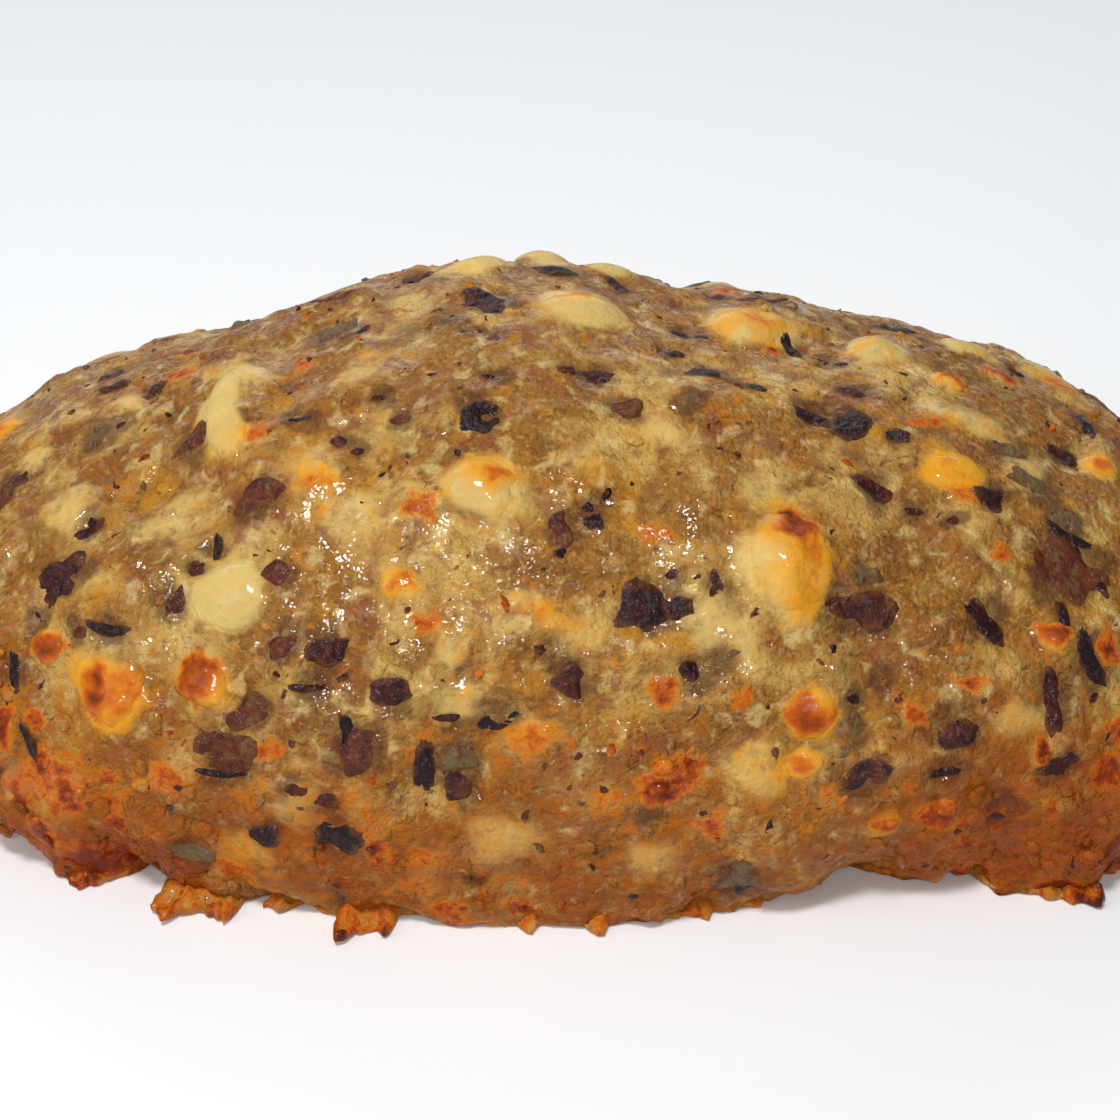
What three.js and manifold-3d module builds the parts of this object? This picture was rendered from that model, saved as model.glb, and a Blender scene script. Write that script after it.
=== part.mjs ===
// A free-form meatloaf: one oval, hand-shaped loaf of baked mince with diced cheese and chopped
// mushroom in it. The loaf is one solid. Its skin is a stretched, flat-bottomed dome with a lumpy
// relief; the cheese that has melted out, the mushroom pieces that stand in the skin and the
// browned drips round the foot are all baked onto it, so they are fused with it.
//
// Millimetres. X runs along the loaf, -Y is its front, Z is up, and the origin is the middle of the
// flat underside. A place on the skin is given by x and by its roll: the angle round the X axis
// from the crest, 0 at the top, 90 degrees at the front foot and -90 degrees at the back foot.
import * as THREE from "three";
import { mergeVertices } from "three/addons/utils/BufferGeometryUtils.js";
import Module from "manifold-3d";

const LENGTH = 220;
const WIDTH = 120;
const SHOULDER = 61; // height of the crest away from the crown
const CROWN = { x: -6, rise: 8, reach: 36 }; // the middle third stands a little prouder
// How blunt each end is, seen from above (plan) and from the side (crest).
const LEFT_END = { plan: 2.6, crest: 2.55 };
const RIGHT_END = { plan: 3.1, crest: 2.8 };
const SECTION_POWER = 2.25; // how square the shoulders are
const TUCK = { share: 0.08, height: 14 }; // the foot is drawn in under the belly
const FACETS = { along: 40, across: 20, up: 14 }; // about 5 mm each
const FOOT_ON_BALL = 125; // degrees round the parent ball that become the loaf's foot at 90
const ABOVE_PLATE = 1; // the lowest height that a piece is stood at
const BELLY = 0.1; // how far the underside bulges before it is cut flat, as a share of the ball's
const SEED = 7;

// The front foot swells and draws back: where along x, how wide, and how far out it is pushed.
const FOOT_WAVES = [
  { x: -95, reach: 8, push: -16 },
  { x: -76, reach: 6, push: 3 },
  { x: -65, reach: 4, push: -8 },
  { x: -46, reach: 4, push: -3 },
  { x: 46, reach: 9, push: -13 },
  { x: 65, reach: 7, push: -7 },
  { x: 84, reach: 10, push: 6 },
];
const FOOT_WAVE_HEIGHT = 24;

// Lumps of mince: size of a lump and how far it stands out.
const LUMPS = [
  { size: 30, rise: 0.9 },
  { size: 13, rise: 1.5 },
  { size: 7, rise: 0.8 },
];

// Cheese dice that have swollen out of the skin: place, half width along and across, height.
const CHEESE = [
  { x: 34, roll: 38, along: 7.5, across: 8.5, rise: 4 },
  { x: -9, roll: 29, along: 6.5, across: 6, rise: 2.6 },
  { x: -48, roll: 40, along: 7.5, across: 6.5, rise: 2.6 },
  { x: -50, roll: 53, along: 4.6, across: 3.8, rise: 3 },
  { x: -63, roll: 54, along: 6, across: 5.5, rise: 3.2 },
  { x: 37, roll: 56, along: 3.6, across: 3.8, rise: 2.2 },
  { x: 36, roll: 63, along: 3, across: 3, rise: 1.8 },
  { x: 7, roll: -6, along: 6.5, across: 5.5, rise: 2.2 },
  { x: 31, roll: -9, along: 5.5, across: 5.5, rise: 3.4 },
  { x: 50, roll: -8, along: 5, across: 5, rise: 3.2 },
  { x: 59, roll: 22, along: 5, across: 4.5, rise: 2.2 },
  { x: 56, roll: 13, along: 5, across: 3.5, rise: 1.8 },
  { x: 67, roll: -20, along: 4.5, across: 4.5, rise: 3.2 },
  { x: -84, roll: -12, along: 5.5, across: 5, rise: 3.2 },
  { x: -14, roll: 48, along: 4.5, across: 5, rise: 1.8 },
  { x: -13, roll: 55, along: 5, across: 4, rise: 1.8 },
  { x: -1, roll: 60, along: 4, across: 4, rise: 1.8 },
  { x: 20, roll: 64, along: 4.5, across: 4, rise: 1.8 },
  { x: -9, roll: -19, along: 5.5, across: 5, rise: 2.4 },
  { x: -72, roll: 73, along: 4.5, across: 4.5, rise: 2.4 },
];
const LARGE_CHEESE = 7; // from this half width on a lump has finer facets
const KNOBBLY = 0.22; // how uneven a lump is, as a share of its size
const SUNK = 0.35; // how deep its middle sits in the skin, as a share of its height
const MORE_CHEESE = { count: 12, half: [3.2, 5.6], rise: 2.4, apart: 17 };

// Mushroom pieces that show from a step away: place, length, width and how far they are turned.
const MUSHROOM = [
  { x: -72, roll: 36, long: 9.5, wide: 7, turn: 60 },
  { x: -10.5, roll: 18.5, long: 6.5, wide: 5.5, turn: 10 },
  { x: -10, roll: -4, long: 8, wide: 6.5, turn: 0 },
  { x: 6.5, roll: 32, long: 6, wide: 4, turn: 65 },
  { x: 1.5, roll: 34, long: 6, wide: 3.5, turn: 100 },
  { x: 13, roll: 43.5, long: 7.5, wide: 7, turn: 0 },
  { x: 22.5, roll: 41.5, long: 5, wide: 3.2, turn: 100 },
  { x: 7, roll: 10.5, long: 6.5, wide: 4, turn: 0 },
  { x: 22, roll: 6, long: 5.5, wide: 4, turn: 10 },
  { x: 40, roll: 13, long: 13, wide: 5.5, turn: -8 },
  { x: 47, roll: 24.5, long: 7.5, wide: 3.6, turn: -30 },
  { x: 63.5, roll: 25, long: 5.5, wide: 5.5, turn: 20 },
  { x: 75, roll: 35, long: 13, wide: 9, turn: -50 },
  { x: 79, roll: 50, long: 10, wide: 3.6, turn: -60 },
  { x: 72.5, roll: 55, long: 10, wide: 3.4, turn: 85 },
  { x: 63, roll: 45, long: 10, wide: 3.6, turn: -50 },
  { x: 43.5, roll: 43.5, long: 9.5, wide: 5, turn: -10 },
  { x: 58, roll: 59.5, long: 7.5, wide: 4.6, turn: 0 },
  { x: 56, roll: 64.5, long: 6.5, wide: 3.2, turn: 15 },
  { x: 45, roll: 64.5, long: 8.5, wide: 4, turn: 15 },
  { x: 73, roll: 64.5, long: 7, wide: 3.4, turn: 30 },
  { x: -55, roll: 40, long: 7.5, wide: 3.8, turn: 65 },
  { x: -38, roll: 47.5, long: 7, wide: 4.4, turn: 50 },
  { x: -31.5, roll: 49, long: 6, wide: 4.4, turn: 10 },
  { x: -48, roll: 63, long: 10, wide: 5.5, turn: 0 },
  { x: -27, roll: 62, long: 6.5, wide: 5.5, turn: 80 },
  { x: -31, roll: 74, long: 6.5, wide: 5, turn: -20 },
  { x: -8, roll: 58, long: 6.5, wide: 3.2, turn: 0 },
  { x: -18, roll: 63.5, long: 7.5, wide: 3.4, turn: 90 },
  { x: 2, roll: 53.5, long: 5.5, wide: 5, turn: 40 },
  { x: 27.5, roll: 83, long: 6, wide: 4.5, turn: 70 },
];
const MORE_MUSHROOM = { count: 16, long: [6, 11], wide: [3.4, 6], apart: 15 };
const CHIP = { thick: 2.6, proud: 1, corners: 7, ragged: 0.28 };

// The pieces that no one counts lie anywhere on this share of the length and down to this roll.
const SCATTER = { length: 0.88, roll: 85, tries: 4000 };

// Browned drips on the foot: where they leave it, how wide and how far they reach over the plate.
// Each is a jagged tongue, wide where it leaves the foot and thin at its two tips; the tips are
// given as shares of its width and reach.
const DRIP = { root: 7, narrowing: 0.3, slope: 0.45 };
const DRIP_TIPS = [[-0.5, 0.3], [-0.24, 0.95], [0, 0.6], [0.2, 1], [0.34, 0.62], [0.5, 0.25]];
const DRIPS = [
  { x: -67, roll: 86, wide: 10, reach: 3, high: 8 },
  { x: -53, roll: 90, wide: 11, reach: 6, high: 4 },
  { x: -39, roll: 90, wide: 8, reach: 4, high: 3 },
  { x: -28, roll: 90, wide: 11, reach: 7, high: 5 },
  { x: -4, roll: 90, wide: 8, reach: 3, high: 4 },
  { x: 7, roll: 90, wide: 7, reach: 4, high: 3 },
  { x: 28, roll: 88, wide: 8, reach: 3, high: 7 },
  { x: 55, roll: 90, wide: 8, reach: 4, high: 5 },
  { x: 79, roll: 90, wide: 9, reach: 3, high: 4 },
  { x: -74, roll: -90, wide: 9, reach: 4, high: 5 },
  { x: -47, roll: -90, wide: 12, reach: 6, high: 4 },
  { x: -14, roll: -90, wide: 8, reach: 4, high: 3 },
  { x: 19, roll: -90, wide: 11, reach: 6, high: 4 },
  { x: 58, roll: -90, wide: 9, reach: 5, high: 5 },
];

const wasm = await Module();
wasm.setup();

const radians = THREE.MathUtils.degToRad;
const clamp = THREE.MathUtils.clamp;
const lerp = THREE.MathUtils.lerp;

// A repeatable row of random numbers from 0 to 1.
function dice(seed) {
  let state = seed;
  return () => {
    state = (Math.imul(state, 1664525) + 1013904223) >>> 0;
    return state / 4294967296;
  };
}

// A closed geometry as a solid, and a solid as a geometry.
function solidOf(geometry) {
  const bare = new THREE.BufferGeometry().setAttribute("position", geometry.getAttribute("position"));
  const welded = mergeVertices(bare.setIndex(geometry.index), 1e-3);
  const vertProperties = welded.getAttribute("position").array;
  const triVerts = new Uint32Array(welded.index.array);
  return new wasm.Manifold(new wasm.Mesh({ numProp: 3, vertProperties, triVerts }));
}

function geometryOf(solid) {
  const { vertProperties, triVerts } = solid.getMesh();
  const geometry = new THREE.BufferGeometry();
  geometry.setAttribute("position", new THREE.BufferAttribute(vertProperties, 3));
  return geometry.setIndex(new THREE.BufferAttribute(triVerts, 1));
}

// Where pieces overlap they can close off a hollow or leave a scrap. Only the loaf itself is kept.
function largestBody(solid) {
  return solid.decompose().sort((a, b) => b.volume() - a.volume())[0];
}

// A value from -1 to 1 that looks random but is always the same for a corner of the unit grid.
function cornerValue(i, j, k) {
  const s = Math.sin(i * 127.1 + j * 311.7 + k * 74.7) * 43758.5453;
  return 2 * (s - Math.floor(s)) - 1;
}

// Smooth noise from -1 to 1 with about one lump to each unit of length.
function noise(x, y, z) {
  const [i, j, k] = [x, y, z].map(Math.floor);
  const [u, v, w] = [x - i, y - j, z - k].map((f) => f * f * (3 - 2 * f));
  const row = (b, c) => lerp(cornerValue(i, j + b, k + c), cornerValue(i + 1, j + b, k + c), u);
  return lerp(lerp(row(0, 0), row(1, 0), v), lerp(row(0, 1), row(1, 1), v), w);
}

function relief(p) {
  return LUMPS.reduce((sum, { size, rise }) => sum + rise * noise(p.x / size, p.y / size, p.z / size), 0);
}

// The smooth skin. At each x it is half of a rounded oval, as wide as halfWidth and as high as crest.
const endOf = (x) => (x < 0 ? LEFT_END : RIGHT_END);
const taper = (x, power) => Math.max(1 - Math.abs((2 * x) / LENGTH) ** power, 0) ** (1 / power);
const bell = (distance, reach) => Math.exp(-((distance / reach) ** 2));
const halfWidth = (x) => (WIDTH / 2) * taper(x, endOf(x).plan) + 1e-6;
const crest = (x) => SHOULDER * taper(x, endOf(x).crest) + CROWN.rise * bell(x - CROWN.x, CROWN.reach) + 1e-6;

function skin(x, roll) {
  const across = Math.abs(Math.sin(roll)) / halfWidth(x);
  const up = Math.abs(Math.cos(roll)) / crest(x);
  const reach = (across ** SECTION_POWER + up ** SECTION_POWER) ** (-1 / SECTION_POWER);
  const p = new THREE.Vector3(x, -reach * Math.sin(roll), reach * Math.cos(roll));
  const low = clamp(1 - p.z / TUCK.height, 0, 1);
  p.multiply(new THREE.Vector3(1 - TUCK.share * low ** 2, 1 - TUCK.share * low ** 2, 1));
  const foot = clamp(1 - p.z / FOOT_WAVE_HEIGHT, 0, 1) ** 2;
  const front = clamp(Math.sin(roll), 0, 1) ** 2;
  for (const wave of FOOT_WAVES) p.y -= wave.push * foot * front * bell(x - wave.x, wave.reach);
  return p;
}

// The body starts as a box of even facets. Each corner goes to a ball by equal angles, and from the
// ball to the skin; the ball's underside becomes a shallow belly, which the plate then cuts flat.
function bodySolid() {
  const box = new THREE.BoxGeometry(2, 2, 2, FACETS.along, FACETS.across, FACETS.up);
  const at = box.getAttribute("position");
  const corner = new THREE.Vector3();
  for (let i = 0; i < at.count; i += 1) {
    corner.fromBufferAttribute(at, i);
    const onBall = new THREE.Vector3(...corner.toArray().map((c) => Math.tan((c * Math.PI) / 4))).normalize();
    const around = Math.min(Math.hypot(onBall.y, onBall.z), 1);
    const { plan } = endOf(onBall.x);
    const x = (Math.sign(onBall.x) * LENGTH * (1 - around ** plan) ** (1 / plan)) / 2;
    const turn = THREE.MathUtils.radToDeg(Math.atan2(-onBall.y, onBall.z));
    const past = Math.max(Math.abs(turn) - FOOT_ON_BALL, 0) / (180 - FOOT_ON_BALL);
    const roll = Math.sign(turn) * 90 * (Math.min(Math.abs(turn) / FOOT_ON_BALL, 1) + past);
    const p = skin(x, radians(roll));
    at.setXYZ(i, p.x, p.y, p.z < 0 ? BELLY * p.z : p.z);
  }
  const bare = new THREE.BufferGeometry().setAttribute("position", at);
  const body = mergeVertices(bare.setIndex(box.index), 1e-3);
  body.computeVertexNormals();
  const place = body.getAttribute("position");
  const normal = body.getAttribute("normal");
  for (let i = 0; i < place.count; i += 1) {
    const p = new THREE.Vector3().fromBufferAttribute(place, i);
    p.addScaledVector(new THREE.Vector3().fromBufferAttribute(normal, i), relief(p));
    place.setXYZ(i, ...p.toArray());
  }
  return solidOf(body);
}

// Where a place on the skin really is, once the lumps are on it, and a matrix that stands a piece
// there: its Z along the skin's normal and its X along the loaf, turned by turn degrees.
function standOn(target, x, roll, turn) {
  const out = new THREE.Vector3(0, -Math.sin(radians(roll)), Math.cos(radians(roll)));
  const axis = new THREE.Vector3(x, 0, ABOVE_PLATE);
  const ray = new THREE.Raycaster(axis.clone().addScaledVector(out, LENGTH), out.clone().negate());
  const hit = ray.intersectObject(target)[0];
  const up = hit.face.normal;
  const side = new THREE.Vector3().crossVectors(up, new THREE.Vector3(1, 0, 0)).normalize();
  const along = new THREE.Vector3().crossVectors(side, up);
  const stand = new THREE.Matrix4().makeBasis(along, side, up).setPosition(hit.point);
  return stand.multiply(new THREE.Matrix4().makeRotationZ(radians(turn)));
}

// A cheese lump is a squashed, knobbly ball, sunk in the skin by about a third of its height.
function cheeseSolid(target, { x, roll, along, across, rise }) {
  const ball = new THREE.IcosahedronGeometry(1, along > LARGE_CHEESE ? 2 : 1);
  const at = ball.getAttribute("position");
  for (let i = 0; i < at.count; i += 1) {
    const p = new THREE.Vector3().fromBufferAttribute(at, i);
    p.multiplyScalar(1 + KNOBBLY * noise(1.7 * p.x + x, 1.7 * p.y + roll, 1.7 * p.z));
    at.setXYZ(i, along * p.x, across * p.y, (1 + SUNK) * rise * p.z - SUNK * rise);
  }
  return solidOf(ball.applyMatrix4(standOn(target, x, roll, 0)));
}

// A mushroom piece is a flat, ragged chip, sunk in the skin up to its last millimetre.
function mushroomSolid(target, { x, roll, long, wide, turn }, random) {
  const outline = new THREE.Shape(
    Array.from({ length: CHIP.corners }, (_, i) => {
      const angle = (2 * Math.PI * i) / CHIP.corners;
      const cut = 1 - CHIP.ragged * random();
      return new THREE.Vector2((long / 2) * cut * Math.cos(angle), (wide / 2) * cut * Math.sin(angle));
    }),
  );
  const chip = new THREE.ExtrudeGeometry(outline, { depth: CHIP.thick, bevelEnabled: false });
  chip.translate(0, 0, CHIP.proud - CHIP.thick);
  return solidOf(chip.applyMatrix4(standOn(target, x, roll, turn)));
}

// A drip starts well inside the foot, and its top slopes back from the tips.
function dripSolid({ x, roll, wide, reach, high }) {
  const outline = [[0.5, -DRIP.root / reach], [-0.5, -DRIP.root / reach], ...DRIP_TIPS];
  const corners = outline.map(([across, out]) => new THREE.Vector2(across * wide, -out * reach));
  const tongue = new THREE.ExtrudeGeometry(new THREE.Shape(corners), { depth: high, bevelEnabled: false });
  const at = tongue.getAttribute("position");
  for (let i = 0; i < at.count; i += 1) {
    const top = at.getZ(i) / high;
    at.setX(i, at.getX(i) * (1 - DRIP.narrowing * top));
    at.setY(i, at.getY(i) + DRIP.slope * reach * top);
  }
  if (roll < 0) tongue.rotateZ(Math.PI);
  const foot = skin(x, radians(roll));
  return solidOf(tongue.translate(foot.x, foot.y, foot.z));
}

// Places for the pieces that no one counts: anywhere on the skin that is clear of the others.
function scatter(random, { count, apart }, taken) {
  const places = [];
  for (let tries = 0; places.length < count && tries < SCATTER.tries; tries += 1) {
    const x = (random() - 0.5) * SCATTER.length * LENGTH;
    const roll = (2 * random() - 1) * SCATTER.roll;
    const p = skin(x, radians(roll));
    if (taken.some((other) => other.distanceTo(p) < apart)) continue;
    taken.push(p);
    places.push({ x, roll });
  }
  return places;
}

function loafSolid() {
  const random = dice(SEED);
  const between = ([low, high]) => lerp(low, high, random());
  const body = bodySolid();
  const target = new THREE.Mesh(geometryOf(body), new THREE.MeshStandardMaterial());
  const taken = [...CHEESE, ...MUSHROOM].map(({ x, roll }) => skin(x, radians(roll)));
  const cheese = scatter(random, MORE_CHEESE, taken).map((place) => {
    const along = between(MORE_CHEESE.half);
    return { ...place, along, across: along * 0.9, rise: MORE_CHEESE.rise };
  });
  const mushroom = scatter(random, MORE_MUSHROOM, taken).map((place) => {
    const long = between(MORE_MUSHROOM.long);
    return { ...place, long, wide: between(MORE_MUSHROOM.wide), turn: 180 * random() };
  });
  const pieces = [
    ...[...CHEESE, ...cheese].map((lump) => cheeseSolid(target, lump)),
    ...[...MUSHROOM, ...mushroom].map((chip) => mushroomSolid(target, chip, random)),
    ...DRIPS.map(dripSolid),
  ];
  const joined = pieces.reduce((whole, piece) => whole.add(piece), body);
  const below = new THREE.BoxGeometry(2 * LENGTH, 2 * WIDTH, SHOULDER).translate(0, 0, -SHOULDER / 2);
  return largestBody(joined.subtract(solidOf(below)));
}

const bakedMince = new THREE.MeshStandardMaterial({ color: 0xa8763a, roughness: 0.45, metalness: 0 });
const meatloaf = new THREE.Mesh(geometryOf(loafSolid()), bakedMince);
meatloaf.name = "meatloaf";

const part = new THREE.Group();
part.add(meatloaf);
export default part;
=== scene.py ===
# %% [markdown]
# # A baked meatloaf
#
# This scene dresses one imported solid, the meatloaf, with the looks of the real food. The loaf is
# shaped by hand from mince, egg, crumbs, diced cheese and chopped mushroom, and baked without a
# tin. So nothing on it is straight or repeated: its skin is made from rules with lumps in them, and
# what lies in the skin is placed piece by piece.
#
# The frame is loaded first.

import math

import bpy
import numpy as np
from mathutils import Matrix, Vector
from mathutils.bvhtree import BVHTree


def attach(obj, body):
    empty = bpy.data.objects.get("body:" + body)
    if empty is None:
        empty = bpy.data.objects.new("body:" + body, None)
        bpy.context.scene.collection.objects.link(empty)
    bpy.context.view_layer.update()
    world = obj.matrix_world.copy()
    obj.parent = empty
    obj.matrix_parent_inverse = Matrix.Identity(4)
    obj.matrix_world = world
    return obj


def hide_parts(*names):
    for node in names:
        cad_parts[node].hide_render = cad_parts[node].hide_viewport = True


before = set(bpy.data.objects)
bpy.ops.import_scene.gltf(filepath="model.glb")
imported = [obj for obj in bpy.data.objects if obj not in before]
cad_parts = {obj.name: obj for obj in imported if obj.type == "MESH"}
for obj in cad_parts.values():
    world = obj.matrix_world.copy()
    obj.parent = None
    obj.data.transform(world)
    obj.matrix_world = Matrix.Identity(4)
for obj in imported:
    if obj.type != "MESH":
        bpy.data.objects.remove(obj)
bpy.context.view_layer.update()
MM = 0.001  # shapes are worked out in millimetres and become metres when a mesh is made

# %% [markdown]
# ## Two helpers for materials
#
# A colour is easiest to choose as a hex value, as in a paint program, but the renderer works with
# light, so one function turns the one into the other. The other helper adds a node to a tree and
# sets or links its inputs in the same line, which keeps the long lists of nodes readable.

# %% Colours and nodes
def colour(code):
    """The linear colour of an sRGB hex value such as "b5803f"."""
    levels = [int(code[i : i + 2], 16) / 255 for i in (0, 2, 4)]
    linear = [c / 12.92 if c <= 0.04045 else ((c + 0.055) / 1.055) ** 2.4 for c in levels]
    return (*linear, 1.0)


def add(tree, kind, inputs=None, **settings):
    """Adds a node. settings are its own properties; inputs are values, or sockets to link."""
    node = tree.nodes.new(kind)
    for name, value in settings.items():
        setattr(node, name, value)
    for name, value in (inputs or {}).items():
        if isinstance(value, bpy.types.NodeSocket):
            tree.links.new(value, node.inputs[name])
        else:
            node.inputs[name].default_value = value
    return node


print("an oven brown in linear light:", [round(level, 3) for level in colour("98500a")])

# %% [markdown]
# ## The camera, the table and the light
#
# The loaf is seen from a little above, through a long lens from close by, so that it fills the
# picture. The table is plain and nearly white. Food looks moist when it mirrors something bright:
# a window low behind the loaf puts a sheen along its crest. Small lamps give small, sharp glints, so
# two of them, above the front and by the camera, pick out the slope that faces the camera. A wide
# lamp at the left end only lightens that side, softly.

# %% Camera
AIM = Vector((1.3, -1.3, 26.0)) * MM
DISTANCE = 422 * MM
RAISED = math.radians(34)
FIELD_OF_VIEW = math.radians(24)

camera = bpy.data.objects.new("camera", bpy.data.cameras.new("camera"))
camera.data.angle = FIELD_OF_VIEW
camera.location = AIM + DISTANCE * Vector((0, -math.cos(RAISED), math.sin(RAISED)))
camera.rotation_euler = (math.pi / 2 - RAISED, 0, 0)
bpy.context.scene.collection.objects.link(camera)
bpy.context.scene.camera = camera
print("camera at", [round(c, 3) for c in camera.location])

# %% Table
TABLE_HALF = 4.0
TABLE_GAP = 0.2 * MM  # keeps the table just clear of the loaf's flat underside

signs = ((-1, -1), (1, -1), (1, 1), (-1, 1))
table_mesh = bpy.data.meshes.new("table")
corners = [(x * TABLE_HALF, y * TABLE_HALF, -TABLE_GAP) for x, y in signs]
table_mesh.from_pydata(corners, [], [(0, 1, 2, 3)])
table = bpy.data.objects.new("table", table_mesh)
bpy.context.scene.collection.objects.link(table)

glazed = bpy.data.materials.new("white_glazed_table")  # glaze is smooth: a faint, soft reflection
glazed.use_nodes = True
glaze = glazed.node_tree.nodes["Principled BSDF"]
glaze.inputs["Base Color"].default_value = colour("fbfbfb")
glaze.inputs["Roughness"].default_value = 0.35
table_mesh.materials.append(glazed)
print("table:", 2 * TABLE_HALF, "m wide")

# %% Light
LIT = Vector((0, 0, 30)) * MM  # where every lamp points
ROOM = {"colour": "e8f1fa", "strength": 0.28}  # daylight from the walls of a white room
LAMPS = {  # where it hangs, how wide and high it is, all in metres, and its power in watts
    "window_behind": ((-0.2, 1.3, 0.75), (1.6, 0.7), 6.0),
    "lamp_above": ((-0.12, -0.30, 0.70), (0.13, 0.13), 3.2),
    "lamp_by_the_camera": ((-0.02, -0.62, 0.52), (0.07, 0.07), 1.2),
    "lamp_at_the_side": ((-0.9, -0.5, 0.8), (0.6, 0.6), 2.55),
}
for name, (place, (wide, high), power) in LAMPS.items():
    light = bpy.data.lights.new(name, "AREA")
    light.shape, light.size, light.size_y, light.energy = "RECTANGLE", wide, high, power
    lamp = bpy.data.objects.new(name, light)
    lamp.location = place
    lamp.rotation_euler = (LIT - Vector(place)).to_track_quat("-Z", "Y").to_euler()
    bpy.context.scene.collection.objects.link(lamp)

world = bpy.data.worlds.new("white_room")
world.use_nodes = True
world.node_tree.nodes["Background"].inputs["Color"].default_value = colour(ROOM["colour"])
world.node_tree.nodes["Background"].inputs["Strength"].default_value = ROOM["strength"]
bpy.context.scene.world = world
bpy.context.scene.view_settings.view_transform = "Standard"
print("lamps:", list(LAMPS))

# %% [markdown]
# ## The form of the loaf
#
# A place on the loaf is given by x, along it, and by its roll: the angle round the long axis, 0 at
# the crest, 90 degrees at the front foot and -90 at the back foot. At each x the section is half of
# a rounded oval. Both its width and its height taper to the two ends by a power law: a power of 2
# would make an ellipse, and a higher one makes a blunter end, as a hand shapes it. The sizes are
# the solid's own driving sizes, in millimetres.

# %% Form
LENGTH, WIDTH, SHOULDER = 220, 120, 61
CROWN = {"x": -6, "rise": 8, "reach": 36}  # the middle third stands a little prouder
LEFT_END = {"plan": 2.6, "crest": 2.55}  # how blunt, seen from above and from the side
RIGHT_END = {"plan": 3.1, "crest": 2.8}
SECTION_POWER = 2.25
TUCK = {"share": 0.08, "height": 14}  # the foot is drawn in under the belly
FOOT_WAVES = (  # x, reach, push
    (-95, 8, -16), (-76, 6, 3), (-65, 4, -8), (-46, 4, -3), (46, 9, -13), (65, 7, -7), (84, 10, 6),
)
FOOT_WAVE_HEIGHT = 24
TINY = 1e-6  # mm, so that nothing is divided by zero at the two tips
STEP = 0.5  # mm along and degrees round, over which a direction on the skin is taken


def taper(x, kind):
    """The share of the full width or height that is left at x, from 1 down to 0 at the tips."""
    power = np.where(x < 0, LEFT_END[kind], RIGHT_END[kind])
    return np.maximum(1 - np.abs(2 * x / LENGTH) ** power, 0) ** (1 / power)


def bell(distance, reach):
    """1 at no distance, fading smoothly to nearly 0 at twice the reach."""
    return np.exp(-((distance / reach) ** 2))


def skin(x, roll):
    """Points on the smooth skin, n x 3, for arrays of x in millimetres and of roll in degrees."""
    x, turn = np.atleast_1d(x).astype(float), np.radians(np.atleast_1d(roll))
    half_width = WIDTH / 2 * taper(x, "plan") + TINY
    crest = SHOULDER * taper(x, "crest") + CROWN["rise"] * bell(x - CROWN["x"], CROWN["reach"]) + TINY
    across = (np.abs(np.sin(turn)) / half_width) ** SECTION_POWER
    up = (np.abs(np.cos(turn)) / crest) ** SECTION_POWER
    reach = (across + up) ** (-1 / SECTION_POWER)
    y, z = -reach * np.sin(turn), reach * np.cos(turn)
    drawn_in = 1 - TUCK["share"] * np.clip(1 - z / TUCK["height"], 0, 1) ** 2
    foot = np.clip(1 - z / FOOT_WAVE_HEIGHT, 0, 1) ** 2 * np.clip(np.sin(turn), 0, 1) ** 2
    push = sum(amount * bell(x - at, width) for at, width, amount in FOOT_WAVES)
    return np.stack([x * drawn_in, y * drawn_in - push * foot, z], axis=1)


def stand(x, roll):
    """A point on the smooth skin and its frame there: along the loaf, up the slope, and outwards."""
    place = skin(x, roll)[0]
    along = skin(x + STEP, roll)[0] - skin(x - STEP, roll)[0]
    uphill = skin(x, roll - STEP)[0] - skin(x, roll + STEP)[0]
    out = np.cross(along, uphill)
    out /= np.linalg.norm(out)
    along /= np.linalg.norm(along)
    return place, along, np.cross(out, along), out


print("height over the crown:", round(skin(CROWN["x"], 0)[0][2], 1), "mm")

# %% [markdown]
# ## Lumps
#
# Mince is lumpy at every size at once: a hand leaves hollows 3 cm wide, clumps of meat are a
# centimetre, and crumbs are a millimetre or two. Value noise gives one size at a time. Each corner
# of a grid gets a number that only looks random, and the values between the corners are blended.
# The largest three sizes are in the solid too, so they use the same rule and the same numbers.
# Mince also shows as packed round grains. Those are the space round scattered middles, one to each
# cell of a grid.

# %% Noise
SCRAMBLE = (127.1, 311.7, 74.7, 43758.5453)  # any odd numbers do, but the solid has these too


def corner_value(i, j, k):
    """A number from -1 to 1 for a corner of the grid, unlike those of the corners beside it."""
    a, b, c, large = SCRAMBLE
    s = np.sin(i * a + j * b + k * c) * large
    return 2 * (s - np.floor(s)) - 1


def noise(points, size):
    """Smooth values from -1 to 1, with about one lump to each size, for n x 3 points."""
    q = points / size
    cell = np.floor(q)
    blend = (q - cell) ** 2 * (3 - 2 * (q - cell))
    total = np.zeros(len(points))
    for step in np.ndindex(2, 2, 2):
        share = np.prod(np.where(step, blend, 1 - blend), axis=1)
        total += share * corner_value(*(cell + step).T)
    return total


GRAIN = {"off_centre": 0.4, "reach": 0.6}  # in cells: how far a grain strays, and its radius squared


def granules(points, size):
    """Packed round grains about one size across: 1 in the middle of each and 0 between them."""
    q = points / size
    cell = np.floor(q)
    nearest = np.full(len(points), np.inf)
    for step in np.ndindex(3, 3, 3):
        i, j, k = (cell + step - 1).T
        jitter = [corner_value(i, j, k), corner_value(j + 5, k, i), corner_value(k, i + 9, j)]
        centre = np.stack([i, j, k], axis=1) + 0.5 + GRAIN["off_centre"] * np.stack(jitter, axis=1)
        nearest = np.minimum(nearest, ((q - centre) ** 2).sum(axis=1))
    return np.sqrt(np.maximum(1 - nearest / GRAIN["reach"], 0))


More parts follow.
